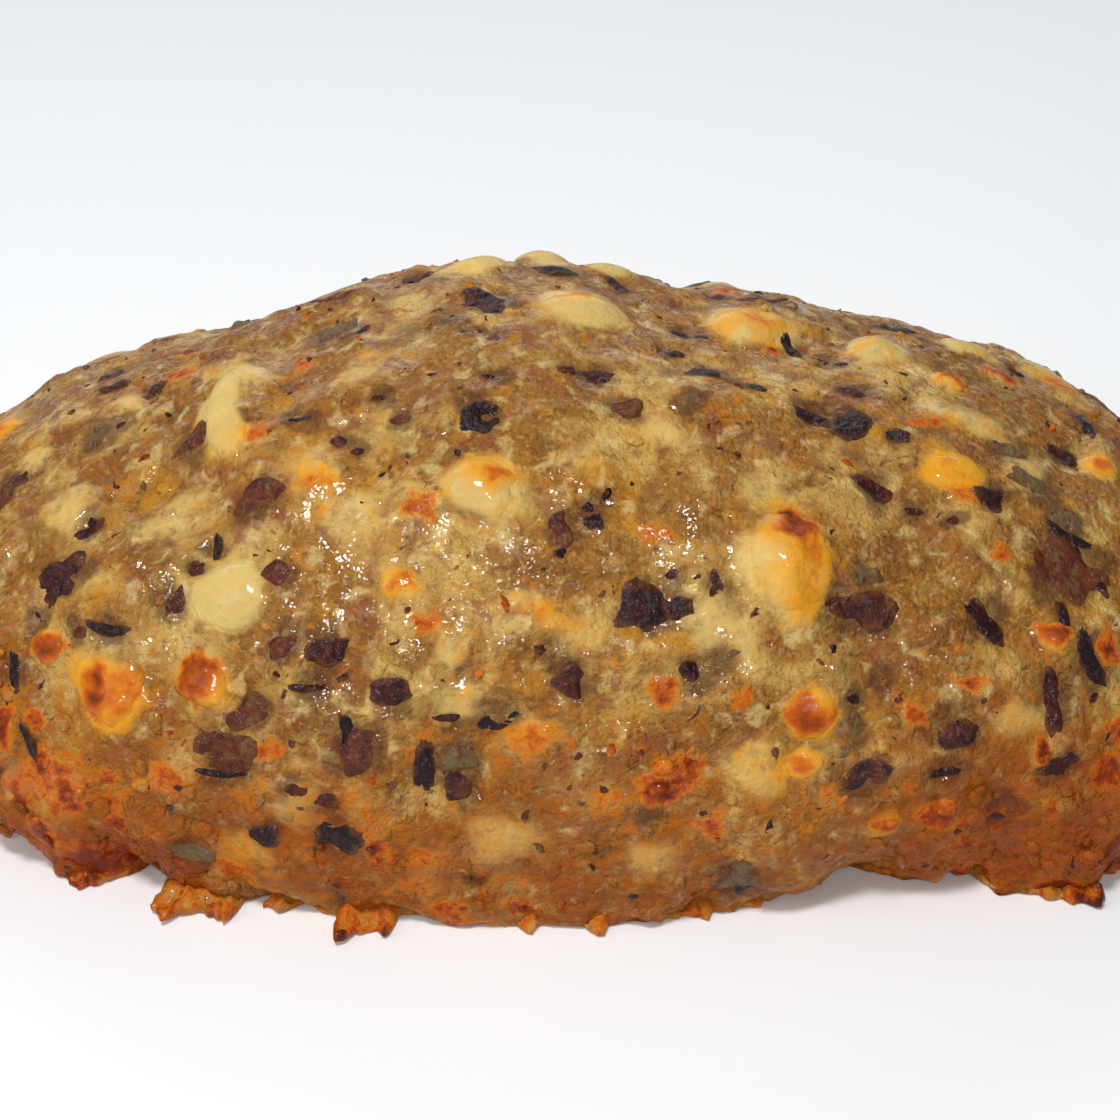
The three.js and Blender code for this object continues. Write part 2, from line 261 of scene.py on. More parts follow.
def wobbled(points, size, amount):
    """Points pushed about by up to amount, so that a spot measured from them is no plain oval."""
    shifts = [noise(points + offset, size) for offset in (11.0, 47.0, 83.0)]
    return points + amount * np.stack(shifts, axis=1)


def between(value, low, high):
    """0 below low, 1 above high, and a smooth ramp from one to the other."""
    t = np.clip((value - low) / (high - low), 0, 1)
    return t * t * (3 - 2 * t)


LUMPS = ((30, 0.9), (13, 1.5), (7, 0.8))  # size and rise in mm of the lumps that the solid has
CRUMBS = ((4.4, 0.42), (2.5, 0.34), (1.5, 0.18))  # finer ones, which only this skin has
GRAINS = ((3.4, 0.7), (2.0, 0.5))  # packed grains of mince, which show most where it is browned
print("lumps of", [size for size, rise in LUMPS + CRUMBS + GRAINS], "mm")

# %% [markdown]
# ## What lies in the skin
#
# Three things break up the mince. Diced cheese has melted into pale domes, and where a dome stood
# nearest to the heat its top has toasted from yellow to orange to red-brown. Mushroom pieces, dark
# skin and brown flesh, lie flush in the surface. Each list gives x and roll, the size along the
# loaf and up the slope in millimetres, and then what makes that piece its own. The front is listed
# piece by piece, because it is what is looked at; the back and the far ends are filled by a seeded rule.

# %% Cheese
CHEESE = [  # x, roll, along, up the slope, rise
    (34, 38, 14, 16, 3.4), (-10, 29, 12, 10, 1.6), (-46, 41, 13, 11, 1.5), (-50, 53, 9, 7, 2.4),
    (-63.5, 54, 11, 11, 2.4), (-74, 47, 6, 5.5, 1.6), (37, 57, 7.5, 7.5, 1.5), (36, 64, 6, 5, 1.2),
    (31, 64, 9, 9, 0.8), (-2.5, 60, 7, 6, 1.0), (73, 46, 4.6, 4.6, 1.4), (-34, 25, 7, 8, 1.0),
    (-21.5, 40.5, 7, 6, 1.0), (-1, 45, 18, 6, 1.0), (6, -4, 15, 10, 1.5), (-11, -16, 12, 11, 1.4),
    (31, -8, 13, 11, 1.9), (51, -8, 11, 10, 1.7), (17, 19, 6, 5, 0.6), (60, 21, 10, 8, 1.2),
    (62, 9, 16, 11, 1.1), (84, 10, 7, 6, 1.2), (-88, -8, 12, 8, 1.4), (-79, 8, 8, 6, 0.8),
    (-65, 2, 9, 5, 0.8), (-48.5, 12, 7, 19, 1.3), (-46, 5, 9, 7, 1.0), (-14.5, 48, 8, 8, 0.9),
    (71, 18, 12, 9, 0.8), (22, 46, 10, 8, 0.9), (-30, 32, 14, 8, 0.5), (-72, 22, 9, 7, 0.8),
    (-13, 55.5, 8, 6, 0.9), (25, 47, 11, 7, 0.8), (47.5, 73, 7, 5, 0.8), (-6, 75, 12, 8, 0.8),
    (15, 77, 11, 6, 0.7), (67, -20, 10, 9, 1.5), (-2, -21, 9, 7, 1.2), (9, -22, 9, 7, 1.2),
    (61.5, -2, 6, 4, 1.2), (33, 30, 14, 9, 0.6), (-27, 8, 12, 9, 0.5), (-36, 70, 9, 7, 0.6),
    (68, 58, 9, 6, 0.7), (-58, 28, 12, 7, 0.5), (4, 24, 9, 7, 0.4), (-45, 79, 10, 8, 0.7),
]
TOAST = [  # x, roll, along, up the slope, and how dark: 0 is golden, 1 is burnt
    (34.5, 33, 6.5, 5, 0.72), (37, 37, 5, 7, 0.25), (-8.5, 27, 5, 3.6, 0.42), (-50.5, 52.5, 8, 5.5, 0.62),
    (-65.8, 53, 5, 9, 0.66), (-61.5, 55, 9, 9, 0.3), (-74, 47, 7, 6, 0.62), (36.8, 57, 7, 6.5, 0.6),
    (36, 63.5, 5.5, 5, 0.34), (16, 54, 4.6, 5.5, 0.55), (-2.5, 60.5, 7, 6, 0.45), (73, 46, 5, 5, 0.66),
    (71.5, 63, 4, 4, 0.7), (-34, 26.5, 6, 5, 0.3), (-21.5, 40.5, 5, 3, 0.3), (-2, 45.5, 14, 4, 0.05),
    (5, -6, 5, 2.4, 0.3), (32, -9, 6, 3, 0.36), (34, -3.5, 4, 3, 0.5), (61, 25, 5.5, 4, 0.34),
    (59.5, 21, 8, 5, 0.02), (56, 12, 7, 3.4, 0.4), (84, 10.5, 5, 4, 0.3), (-88, -8, 9, 4, 0.3),
    (-37, 4, 5, 4.4, 0.4), (-57, -1, 6, 5, 0.42), (-58, -12, 3, 6, 0.6), (-43, 17, 4.5, 4, 0.4),
    (-19.5, 31, 6.5, 5, 0.5), (-17.5, 45, 5, 3, 0.56), (-75, 59, 4, 4, 0.6), (-75, 66, 5, 5, 0.58),
    (-72, 72, 7, 6, 0.7), (-65, 68, 5, 4, 0.5), (-63, 75.5, 4, 4, 0.62), (-25, 76, 5, 6, 0.6),
    (19, 64, 10, 8, 0.55), (14.5, 67.5, 7, 5, 0.72), (23, 72, 5, 5, 0.55), (-4.5, 85, 7, 5, 0.6),
    (52, 57, 4.4, 4.6, 0.5), (60, 53, 6, 2, 0.5), (56, 72, 7, 5, 0.5), (82, 47, 5, 8, 0.6),
    (83, 60, 6, 5, 0.66), (81, 67, 5, 5, 0.6), (66, 34, 4, 4, 0.4), (71, -12, 7, 5, 0.5),
    (61.5, -2, 6, 3, 0.55), (48, 73, 6, 4, 0.4), (-41, 62, 5, 4, 0.45), (-55, 66, 7, 5, 0.42),
    (-47, 82, 6, 5, 0.5), (-81, 62, 6, 8, 0.6), (8, 69, 6, 5, 0.35), (27, 55, 5, 4, 0.3),
    (-70, 84, 13, 10, 0.85), (79, 87, 9, 6, 0.9), (86, 82, 10, 9, 0.8), (15, 34, 7, 5, 0.22),
    (-76, 79, 8, 6, 0.75), (36.5, 41, 7, 6, 0.02), (12, 50, 8, 5, 0.0), (-79, 72, 7, 6, 0.6),
    (-73, 69, 16, 12, 0.42),
]
print(len(CHEESE), "cheese lumps and", len(TOAST), "toasted spots placed by hand")

# %% Mushroom
BLACK, DARK, FLESH, GREY = 0.0, 0.3, 0.65, 1.0  # skin, dark skin, brown flesh, grey-green flesh
MUSHROOM = [  # x, roll, long, wide, turned by, what shows, and how much it curls
    (-72.5, 36, 11, 7, 58, DARK, 0), (-76, 42, 4, 2.6, 80, DARK, 0), (-55, 41, 7, 3.6, 68, DARK, 0.2),
    (-52, 36.5, 3, 2.4, 0, DARK, 0), (-49, 33.5, 5, 1.4, 100, BLACK, 0.4),
    (-10.5, 19, 7.5, 6.4, 15, BLACK, 0),
    (-10, -4, 8.5, 7, 0, DARK, 0), (-15, 0, 5, 2.6, 0, DARK, 0), (-12, 3, 4, 1.4, 0, BLACK, 0),
    (-8, 4.5, 4, 2.4, 0, FLESH, 0), (1, -16, 8, 4, 0, BLACK, 0), (-21, -15, 5, 3, 0, DARK, 0),
    (7, 10, 6, 3.4, 0, DARK, 0), (2.5, 10, 3, 1.8, 0, DARK, 0), (-8, 12, 4.6, 1.1, 0, DARK, 0.3),
    (23, 6, 6.4, 3.8, 5, BLACK, 0), (27, 8, 5, 1.4, -40, BLACK, 0.2), (31, 9, 4.2, 2.6, 120, BLACK, 0),
    (20.5, 14, 3.6, 2.6, 0, GREY, 0), (11, 16, 5.6, 4, 0, FLESH, 0), (6, 32, 5.4, 4, 72, BLACK, 0),
    (8, 29.5, 4.4, 1.6, 55, BLACK, 0.2), (1, 34, 7, 3.4, 96, FLESH, 0), (1.5, 37.2, 2, 1.6, 0, BLACK, 0),
    (13.2, 43.3, 8, 7.6, 0, BLACK, 0), (17.6, 43.4, 5, 4, 0, BLACK, 0), (23, 41, 6, 3.6, 108, DARK, 0),
    (17.5, 39.5, 2.2, 1.6, 0, DARK, 0), (20.5, 51.5, 5, 2.8, 5, BLACK, 0), (24, 50, 6, 1.6, 22, GREY, 0),
    (1, 49, 6, 2.8, 0, DARK, 0), (3, 53, 6.4, 5, -52, DARK, 0), (-8, 58, 7.6, 3, 5, BLACK, 0),
    (-14, 57.4, 6.5, 1.2, 4, DARK, 0.2), (-23, 54, 5.4, 4, 0, DARK, 0), (-18, 64, 7.4, 3, 92, BLACK, 0),
    (-13, 62.8, 6.6, 4.6, 0, GREY, 0), (-13.5, 67, 4.8, 4, 60, DARK, 0), (15, 71, 4.6, 2, 0, DARK, 0),
    (-38.5, 47.8, 7.8, 4.8, 42, FLESH, 0), (-31.5, 49, 7, 4.6, 12, DARK, 0),
    (-33, 53, 9, 1.2, 12, DARK, 0.5), (-47, 62.6, 11, 6.6, 4, FLESH, 0.2),
    (-47.5, 65.6, 9, 1.1, -4, BLACK, 0.5), (-43, 57, 6, 5, 30, FLESH, 0),
    (-27.5, 61.6, 8.6, 5.8, 78, FLESH, 0), (-29, 60, 7, 2, 96, BLACK, 0.2), (-33, 69, 5, 3, 10, DARK, 0),
    (-31, 74, 7, 5.4, -28, BLACK, 0), (-36, 67.5, 5, 2.4, 24, DARK, 0), (-41.5, 75, 5, 3.6, 0, BLACK, 0),
    (-54, 80, 9, 3.4, 0, GREY, 0), (-39.5, 39, 5, 4, 0, FLESH, 0), (-42, 27, 8, 5, 40, FLESH, 0.2),
    (-64, 45, 6.6, 1.6, -12, BLACK, 0.4), (-69, 45, 3.4, 2.2, 0, FLESH, 0), (-79.5, 51, 7, 2, 94, BLACK, 0),
    (-77, 62, 7, 1.4, 118, BLACK, 0.2), (-69, 27, 5, 2, 24, DARK, 0), (-69, 26, 4, 1.6, -50, BLACK, 0),
    (-82, 12, 4, 3, 0, DARK, 0), (-84, 17, 7, 3, 74, FLESH, 0), (-69, 8, 6, 2.6, 62, GREY, 0),
    (-61, 0, 5.6, 2.6, 50, DARK, 0), (-54, 15, 8, 2.6, 52, FLESH, 0.2), (-68, -5, 4.6, 2, 0, DARK, 0),
    (-65, 6, 3.4, 1.6, 30, DARK, 0), (-37, 16, 4.6, 1.6, 4, BLACK, 0), (-31, 20, 3.2, 2.2, 0, DARK, 0),
    (-28, 22, 2.4, 1.5, 0, DARK, 0), (-33, -4, 9, 4, 0, GREY, 0), (-30, -1.5, 5, 1.6, 10, BLACK, 0.3),
    (-33, -12, 9, 2.6, 0, FLESH, 0), (-22, 18, 4.6, 2.2, 0, FLESH, 0), (-24, 14, 4.6, 1.1, 8, DARK, 0),
    (21, -4, 6.4, 2.2, 0, BLACK, 0), (18, 2, 5, 1.8, 0, DARK, 0), (37, -5.5, 5.4, 2.4, 112, BLACK, 0),
    (43, -3, 6, 2.4, -18, BLACK, 0), (55, -22, 7, 4, 0, BLACK, 0), (46, 6, 6, 2.6, -12, DARK, 0),
    (38.5, 13, 7.5, 3.6, -10, BLACK, 0), (44.5, 14, 8, 5.6, 10, BLACK, 0),
    (51.5, 15.5, 4.6, 2.8, -20, BLACK, 0),
    (47, 25, 7.5, 3.4, -25, DARK, 0), (65, 24.4, 5.6, 4.6, 0, DARK, 0), (53, 28, 3.4, 1.2, 0, DARK, 0),
    (59, 29, 2.6, 2, 0, DARK, 0), (69, 13, 7, 3, -16, GREY, 0), (73, 20, 9, 4, -14, GREY, 0),
    (78.5, 10, 6, 4.4, -30, DARK, 0), (83, -2, 8, 2.4, 102, BLACK, 0), (77, 26, 7, 5, -20, GREY, 0),
    (75.5, 34.5, 12, 9.5, -38, FLESH, 0), (79.2, 34, 10, 2, -64, BLACK, 0.3),
    (77, 29, 9, 1.8, -20, BLACK, 0.3),
    (45, 43.5, 9, 5.4, -10, DARK, 0), (45, 38.5, 6, 3, 10, GREY, 0), (40, 42, 4, 1.6, 20, DARK, 0),
    (62.5, 44, 9.6, 3.2, -52, BLACK, 0), (74.5, 43, 5, 2.2, 100, BLACK, 0),
    (78.5, 50, 11, 3.2, -58, BLACK, 0.2),
    (72.5, 55.5, 9.4, 2.8, 96, DARK, 0), (46.5, 52, 5, 2.2, 0, DARK, 0), (43, 55, 2.2, 1.4, 0, BLACK, 0),
    (58, 60, 8, 4.8, 0, DARK, 0), (57, 65, 6.4, 2, 12, BLACK, 0), (45, 65, 8.6, 4, 26, DARK, 0),
    (43, 60, 7, 1.4, 72, GREY, 0.4), (74, 65, 7, 3.2, 32, DARK, 0), (66, 73, 5, 3.4, 10, DARK, 0),
    (28, 82, 7, 5.4, 60, GREY, 0), (29.5, 85, 4, 3, 40, BLACK, 0), (-11, 81, 2.4, 1.4, 0, BLACK, 0),
    (-69, -12, 5, 2.6, 20, DARK, 0), (88, 30, 7, 3.6, -50, DARK, 0), (86, 46, 6, 3, -70, BLACK, 0),
]
print(len(MUSHROOM), "mushroom pieces placed by hand")

# %% [markdown]
# The rest is strewn. The rule draws a place anywhere on the loaf, drops it if it is on the stretch
# that was listed, and keeps it only if it is far enough from every piece before it. That
# spacing is what makes a random scatter look chopped and mixed rather than sprinkled in clots.

# %% Strewn pieces
dice = np.random.default_rng(5)
ANYWHERE = {"x": (-107, 107), "roll": (-88, 88)}
HAND_PLACED = {"x": (-86, 90), "roll": (-16, 92)}
STREWN = {"cheese": (34, 11), "toast": (30, 6), "mushroom": (120, 8)}  # how many, and mm apart
TRIES = 60  # places drawn for each one that is wanted


def strewn(kind, taken):
    """Places as x and roll, each far enough from the others and off the listed stretch."""
    count, apart = STREWN[kind]
    places = []
    for x, roll in zip(*(dice.uniform(*limits, TRIES * count) for limits in ANYWHERE.values())):
        by_hand = all(low < v < high for v, (low, high) in zip((x, roll), HAND_PLACED.values()))
        point = skin(x, roll)[0]
        clear = all(np.linalg.norm(point - other) > apart for other in taken)
        if clear and not by_hand and len(places) < count:
            taken.append(point)
            places.append((x, roll))
    return places


cheese = list(CHEESE)
taken = [skin(x, roll)[0] for x, roll, *_ in CHEESE]
for x, roll in strewn("cheese", taken):
    along = dice.uniform(6, 15)
    uphill = along * dice.uniform(0.6, 1.1)
    rise = along * dice.uniform(0.05, 0.13)
    cheese.append((x, roll, along, uphill, rise))

toast = list(TOAST)
for x, roll, along, uphill, rise in cheese[len(CHEESE) :]:  # one near the middle of each new lump
    middle = (x + dice.normal(0, 1), roll + dice.normal(0, 2))
    toast.append((*middle, 0.5 * along, 0.45 * uphill, dice.uniform(0.2, 0.7)))
for x, roll in strewn("toast", taken):
    toast.append((x, roll, dice.uniform(3, 8), dice.uniform(3, 6), dice.uniform(0.3, 0.75)))

mushroom = list(MUSHROOM)
taken = [skin(x, roll)[0] for x, roll, *_ in MUSHROOM]
for x, roll in strewn("mushroom", taken):
    long = 2.2 + 7 * dice.random() ** 1.5  # many small pieces and a few large ones
    kind = dice.choice([BLACK, DARK, FLESH, GREY], p=[0.35, 0.35, 0.2, 0.1])
    wide, turn, curl = long * dice.uniform(0.3, 0.75), dice.uniform(0, 180), dice.uniform(0, 0.4)
    mushroom.append((x, roll, long, wide, turn, kind, curl))
print("in all:", len(cheese), "cheese,", len(toast), "toasted spots,", len(mushroom), "mushroom")

# %% [markdown]
# How much of each there is at a point of the skin is a number from 0 to 1, which the mesh carries
# as an attribute and the material reads. Each spot counts by its own two sizes, measured in the
# plane of the skin from points that noise has pushed about, so that no spot is a plain oval.

# %% Spots
PROUD = 1.2  # mm; from this rise on, a cheese lump is a piece of its own with a clear edge
SPOT_DEPTH = 12  # mm into or out of the skin, past which a spot no longer counts


def spot(points, x, roll, along, uphill, wobble=0.5):
    """The points near a spot, and how far each is from its middle: 0 there, and 1 on its edge."""
    place, axis, slope, out = stand(x, roll)
    reach = 0.25 * (along + uphill)
    near = np.flatnonzero(np.linalg.norm(points - place, axis=1) < 1.4 * max(along, uphill) + 1)
    pushed = wobbled(points[near], 1.2 * reach, wobble * reach)
    offset = wobbled(pushed, 0.5 * reach, 0.4 * wobble * reach) - place
    u, v, w = offset @ axis / (along / 2), offset @ slope / (uphill / 2), offset @ out / SPOT_DEPTH
    return near, np.sqrt(u * u + v * v + w**4)


def spots_mask(points, spots, edge, middle, wobble=0.5):
    """The strongest of some spots at each point: a spot fades in from edge to middle."""
    mask = np.zeros(len(points))
    for x, roll, along, uphill, strength in spots:
        near, distance = spot(points, x, roll, along, uphill, wobble)
        mask[near] = np.maximum(mask[near], strength * between(-distance, -edge, -middle))
    return mask


print("a spot's middle on the crest:", stand(0, 0)[0].round(1))

# %% Masks
def cheese_mask(points):
    """Cheese in the skin: a proud lump has a clear edge, and a flat one fades into the mince."""
    faint = [(*size, 0.7 + 0.35 * between(rise, 0.5, 1.5)) for *size, rise in cheese]
    proud = [(*size, 1.2) for *size, rise in cheese if rise >= PROUD]
    faint = spots_mask(points, faint, edge=1.6, middle=0.3)
    return np.maximum(faint, spots_mask(points, proud, edge=1.2, middle=0.7, wobble=0.3))


def glow_mask(points):
    """The golden ring that cheese takes on round a toasted spot."""
    return spots_mask(points, [(*size, 1.0) for *size, depth in toast], edge=2.7, middle=0.9)


def toast_mask(points):
    """How dark the skin is toasted, from 0 for not at all to 1 for burnt."""
    spots = [(*size, 0.2 + 0.8 * depth) for *size, depth in toast]
    spots = spots_mask(points, spots, edge=1.45, middle=0.35)
    speckle = noise(points, 4.6) + 0.6 * noise(points, 2.2)
    at_the_foot = between(-points[:, 2], -9, -1)
    crisp = np.maximum(0.6 * browning_mask(points), 0.75 * at_the_foot)
    return np.maximum(spots, crisp * between(speckle, -0.1, 1.1))


def stain_mask(points):
    """The purple-brown shade that a mushroom piece gives to the mince just round it."""
    halos = [(x, roll, *2 * [0.5 * (long + wide) + 2.5], 1) for x, roll, long, wide, *_ in mushroom]
    return spots_mask(points, halos, edge=1.3, middle=0.5)


BROWNS = {  # mm between which a part of the browning goes from none to all
    "down": (-46, -6), "to the ends": (84, 112), "to the right": (22, 72), "to the left": (32, 68),
    "to the front": (20, 56),
}


def browning_mask(points):
    """Browner towards the foot and at the two ends, where the loaf is nearest to the hot tray."""
    x, y, z = points.T
    low = between(-z, *BROWNS["down"])
    end = between(np.abs(x + 4), *BROWNS["to the ends"])
    corner = np.maximum(between(x, *BROWNS["to the right"]), between(-x, *BROWNS["to the left"]))
    front = between(-y, *BROWNS["to the front"])
    patchy = 0.3 * noise(points, 17) + 0.15 * noise(points, 8)
    return np.clip(low * (0.58 + 0.34 * corner) * (0.55 + 0.45 * front) + 0.35 * end + patchy, 0, 1)


print("browning at the front foot:", browning_mask(skin([-60, 0, 60], 85)).round(2))

# %% [markdown]
# ## The core
#
# A loaf has no poles, so a sphere of latitudes would crowd its facets at the two tips. A box whose
# grid is bent onto a half ball has even facets everywhere. Its corners go to the ball by equal
# angles and from the ball to the skin; then every point moves out or in by its share of the lumps.
# Only the top and the four sides are bent. The underside is one flat face that closes the foot.

# %% Half a box
FACETS = {"along": 262, "across": 140, "up": 74}  # about 0.7 mm each, under 200,000 triangles


def half_box():
    """Points and squares of a box without a floor: x and y from -1 to 1, and z from 0 to 1."""
    a = np.linspace(-1, 1, FACETS["along"] + 1)
    b = np.linspace(-1, 1, FACETS["across"] + 1)
    c = np.linspace(0, 1, FACETS["up"] + 1)
    sheets = [
        (a, b, lambda u, v: (u, v, np.ones_like(u))),
        (a, c, lambda u, v: (u, -np.ones_like(u), v)),
        (-a, c, lambda u, v: (u, np.ones_like(u), v)),
        (b, c, lambda u, v: (np.ones_like(u), u, v)),
        (-b, c, lambda u, v: (-np.ones_like(u), u, v)),
    ]
    points, squares, count = [], [], 0
    for first, second, put in sheets:
        u, v = np.meshgrid(first, second, indexing="ij")
        points.append(np.stack(put(u, v), axis=-1).reshape(-1, 3))
        index = count + np.arange(u.size).reshape(u.shape)
        corners = [index[:-1, :-1], index[1:, :-1], index[1:, 1:], index[:-1, 1:]]
        squares.append(np.stack(corners, axis=-1).reshape(-1, 4))
        count += u.size
    points, squares = np.concatenate(points), np.concatenate(squares)
    _, kept, merged = np.unique(np.round(points, 6), axis=0, return_index=True, return_inverse=True)
    return points[kept], merged.reshape(-1)[squares]


def point_normals(points, squares):
    """The outward direction at each point of a grid of squares."""
    corners = points[squares]
    across = np.cross(corners[:, 2] - corners[:, 0], corners[:, 3] - corners[:, 1])
    total = np.zeros_like(points)
    for corner in range(4):
        np.add.at(total, squares[:, corner], across)
    return total / np.linalg.norm(total, axis=1)[:, None]


# %% Bend it onto the loaf
box_points, squares = half_box()
on_ball = np.tan(box_points * math.pi / 4)
on_ball /= np.linalg.norm(on_ball, axis=1)[:, None]
around = np.minimum(np.hypot(on_ball[:, 1], on_ball[:, 2]), 1)
plan = np.where(on_ball[:, 0] < 0, LEFT_END["plan"], RIGHT_END["plan"])
core_x = np.sign(on_ball[:, 0]) * LENGTH / 2 * (1 - around**plan) ** (1 / plan)
core_roll = np.degrees(np.arctan2(-on_ball[:, 1], on_ball[:, 2]))
smooth = skin(core_x, core_roll)
outward = point_normals(smooth, squares)
print(len(smooth), "points,", 2 * len(squares), "triangles in the core")

# %% [markdown]
# The foot is where a loaf is roughest. Juice and cheese run down, spread on the tray and brown, so
# the last few millimetres are ragged. Hollows are kept as a mask too: the material paints them
# darker, as painted shade.

# %% Roughen the core
FOOT_RAGGED = {"height": 10, "rise": 1.6, "spread": 1.0}  # mm, but the spread is a share of the rise
UNDER_CHEESE = {"crumbs": 0.7, "grains": 0.8}  # the share of them that melted cheese levels out
PATCHY = {"size": 12, "least": 0.25}  # packed grains show in patches, and only a little elsewhere
MEAN_GRAIN = 0.3  # mm, taken off again so that the grains don't swell the loaf

core = smooth + outward * sum(rise * noise(smooth, size) for size, rise in LUMPS)[:, None]
browning = browning_mask(core)
cheesy = cheese_mask(core)
crumbly = (0.8 + 0.8 * browning) * (1 - UNDER_CHEESE["crumbs"] * cheesy)
fine = crumbly * sum(rise * noise(core + size, size) for size, rise in CRUMBS)
patches = np.maximum(between(noise(core, PATCHY["size"]), 0.1, 0.8), browning)
patches = PATCHY["least"] + (1 - PATCHY["least"]) * patches
grains = sum(rise * granules(wobbled(core, 2 * size, 0.4 * size), size) for size, rise in GRAINS)
fine += (grains - MEAN_GRAIN) * patches * (1 - UNDER_CHEESE["grains"] * cheesy)
# hollows are where the fine relief dips; the material paints them darker, as painted shade
hollow = between(-fine - 0.3 * noise(smooth, 7), 0.05, 0.75)
ragged = np.clip(1 - core[:, 2] / FOOT_RAGGED["height"], 0, 1) * FOOT_RAGGED["rise"]
fine += ragged * (noise(core, 3.6) + 0.5 * noise(core, 1.9) + FOOT_RAGGED["spread"])
print("fine relief from", fine.min().round(1), "to", fine.max().round(1), "mm")

# %% [markdown]
# Cheese and toasted spots rise out of the skin as domes, smoother than the mince round them: a spot
# toasts because it stands nearer to the heat. A mushroom piece shrinks as it cooks, so it sits in a
# shallow pit.

# %% Raise the domes and sink the pits
TOAST_RISE = 0.6  # mm
PIT = {"margin": 1.5, "depth": 0.45}  # mm
DOME_REACH = 1.2  # a dome ends a little beyond the edge of its spot
SMOOTHED = 0.85  # the share of the fine relief that a dome loses in its middle
FLOOR_GAP = 0.02  # mm; only the foot itself is on the floor


def dome(distance):
    """A rounded dome, 1 in the middle and 0 from a little beyond the edge on."""
    return (1 - np.clip(distance / DOME_REACH, 0, 1) ** 2) ** 1.5


raised = cheese + [(*size, TOAST_RISE) for *size, depth in toast]
for x, roll, long, wide, *_ in mushroom:
    raised.append((x, roll, *2 * [0.5 * (long + wide) + PIT["margin"]], -PIT["depth"]))
for x, roll, along, uphill, rise in raised:
    near, distance = spot(core, x, roll, along, uphill, wobble=0.25)
    cover = dome(distance)
    fine[near] = fine[near] * (1 - SMOOTHED * cover * (rise > 0)) + rise * cover
core = core + outward * fine[:, None]
on_foot = box_points[:, 2] < TINY
core[:, 2] = np.where(on_foot, 0, np.maximum(core[:, 2], FLOOR_GAP))
print("core from", core.min(0).round(1), "to", core.max(0).round(1))

# %% [markdown]
# The underside closes the shell. Its rim is the ring of foot points, found by walking from each
# edge on the foot to the next. Sorting them by angle would not do, because the foot has bays.

# %% Close the underside
edges = np.concatenate([squares[:, pair] for pair in ([0, 1], [1, 2], [2, 3], [3, 0])])
following = dict(edges[on_foot[edges].all(axis=1)].tolist())
foot = [next(iter(following))]
while len(foot) < len(following):
    foot.append(following[foot[-1]])
foot = np.array(foot[::-1])
core_faces = [tuple(s) for s in squares.tolist()] + [tuple(foot.tolist())]
print(len(foot), "points round the foot")

# %% [markdown]
# ## Baked mince
#
# Raw mince is pink and grey; baking turns its proteins tan and then brown, and melts fat and cheese
# through it. So the skin is a translucent, moist, mottled thing: a tan ground, cream and yellow
# where cheese has soaked in, mauve where the meat is less done, olive where mushroom juice has
# stained it, orange-brown where it is crisp and red-brown where it has turned to crust. Each mottle
# is a noise with its own real size. Light goes a millimetre or two into the meat, and patches of fat
# on top mirror the lamps; they are drier where the skin is browned or toasted.

# %% Colours of the baked mince
TAN = "996625"
MOTTLES = {  # colour, size in mm, detail, swirl, the noise values between which it fades in, strength
    "honey": ("7e4f1b", 8.0, 4.0, 0.5, 0.46, 0.64, 0.75),
    "pale_grain": ("cfa96a", 0.9, 2.0, 0.0, 0.52, 0.68, 0.35),
    "dark_grain": ("5a3114", 1.1, 3.0, 0.2, 0.52, 0.70, 0.45),
    "cream": ("d2aa5c", 12.0, 5.0, 0.6, 0.45, 0.68, 0.85),
    "glow": ("c48624", 9.0, 5.0, 0.6, 0.54, 0.68, 0.7),
    "olive": ("6f5c2a", 11.0, 5.0, 0.6, 0.57, 0.70, 0.4),
    "mauve": ("84462c", 6.0, 4.0, 0.6, 0.52, 0.68, 0.7),
    "brown_streak": ("502a0e", 3.2, 5.0, 1.2, 0.60, 0.73, 0.6),
    "pale_streak": ("dcbf7c", 3.4, 3.0, 0.5, 0.54, 0.72, 0.6),
    "fine_grain": ("40220f", 0.6, 2.0, 0.3, 0.55, 0.70, 0.3),
}
CHEESE_PALE, CHEESE_YELLOW = "dcbf74", "eaa018"
TOASTED = (  # how dark, and the colour there
    (0.0, "d2982e"), (0.25, "d0821c"), (0.45, "c86612"), (0.62, "aa460c"), (0.8, "6a220a"),
    (1.0, "280d08"),
)
# the fourth colour is painted shade: a darker brown laid into the hollows of the skin
BROWN, CRUST, STAIN, HOLLOW_SHADE = "98500a", "8c3206", "4d2a18", "4e290c"
print(len(MOTTLES), "mottles from", min(size for _, size, *_ in MOTTLES.values()), "mm up")

# %% Mottles and frayed masks
FRAY = {"size": 2.2, "detail": 6.0, "roughness": 0.65}  # the noise that tears the masks' edges
FRAYED = {  # how much of it is added to each mask
    "cheese": 1.6, "toast": 1.4, "glow": 0.8, "stain": 1.6, "browning": 1.8, "hollow": 0.8,
}
APART = (0.31, 0.17, 0)  # metres from one mottle's noise to the next, so that they differ


def mottled(tree, place):
    """How much there is of each mottle: where its noise is low there is none."""
    mottle = {}
    for index, (label, (_, size, detail, swirl, low, high, strength)) in enumerate(MOTTLES.items()):
        moved = {"Vector": place, "Location": [index * shift for shift in APART]}
        moved = add(tree, "ShaderNodeMapping", moved).outputs[0]
        field = {"Vector": moved, "Scale": 1 / (size * MM), "Detail": detail, "Distortion": swirl}
        field = add(tree, "ShaderNodeTexNoise", field).outputs["Fac"]
        fade = {"Value": field, "From Min": low, "From Max": high, "To Max": strength}
        mottle[label] = add(tree, "ShaderNodeMapRange", fade, interpolation_type="SMOOTHSTEP").outputs[0]
    return mottle


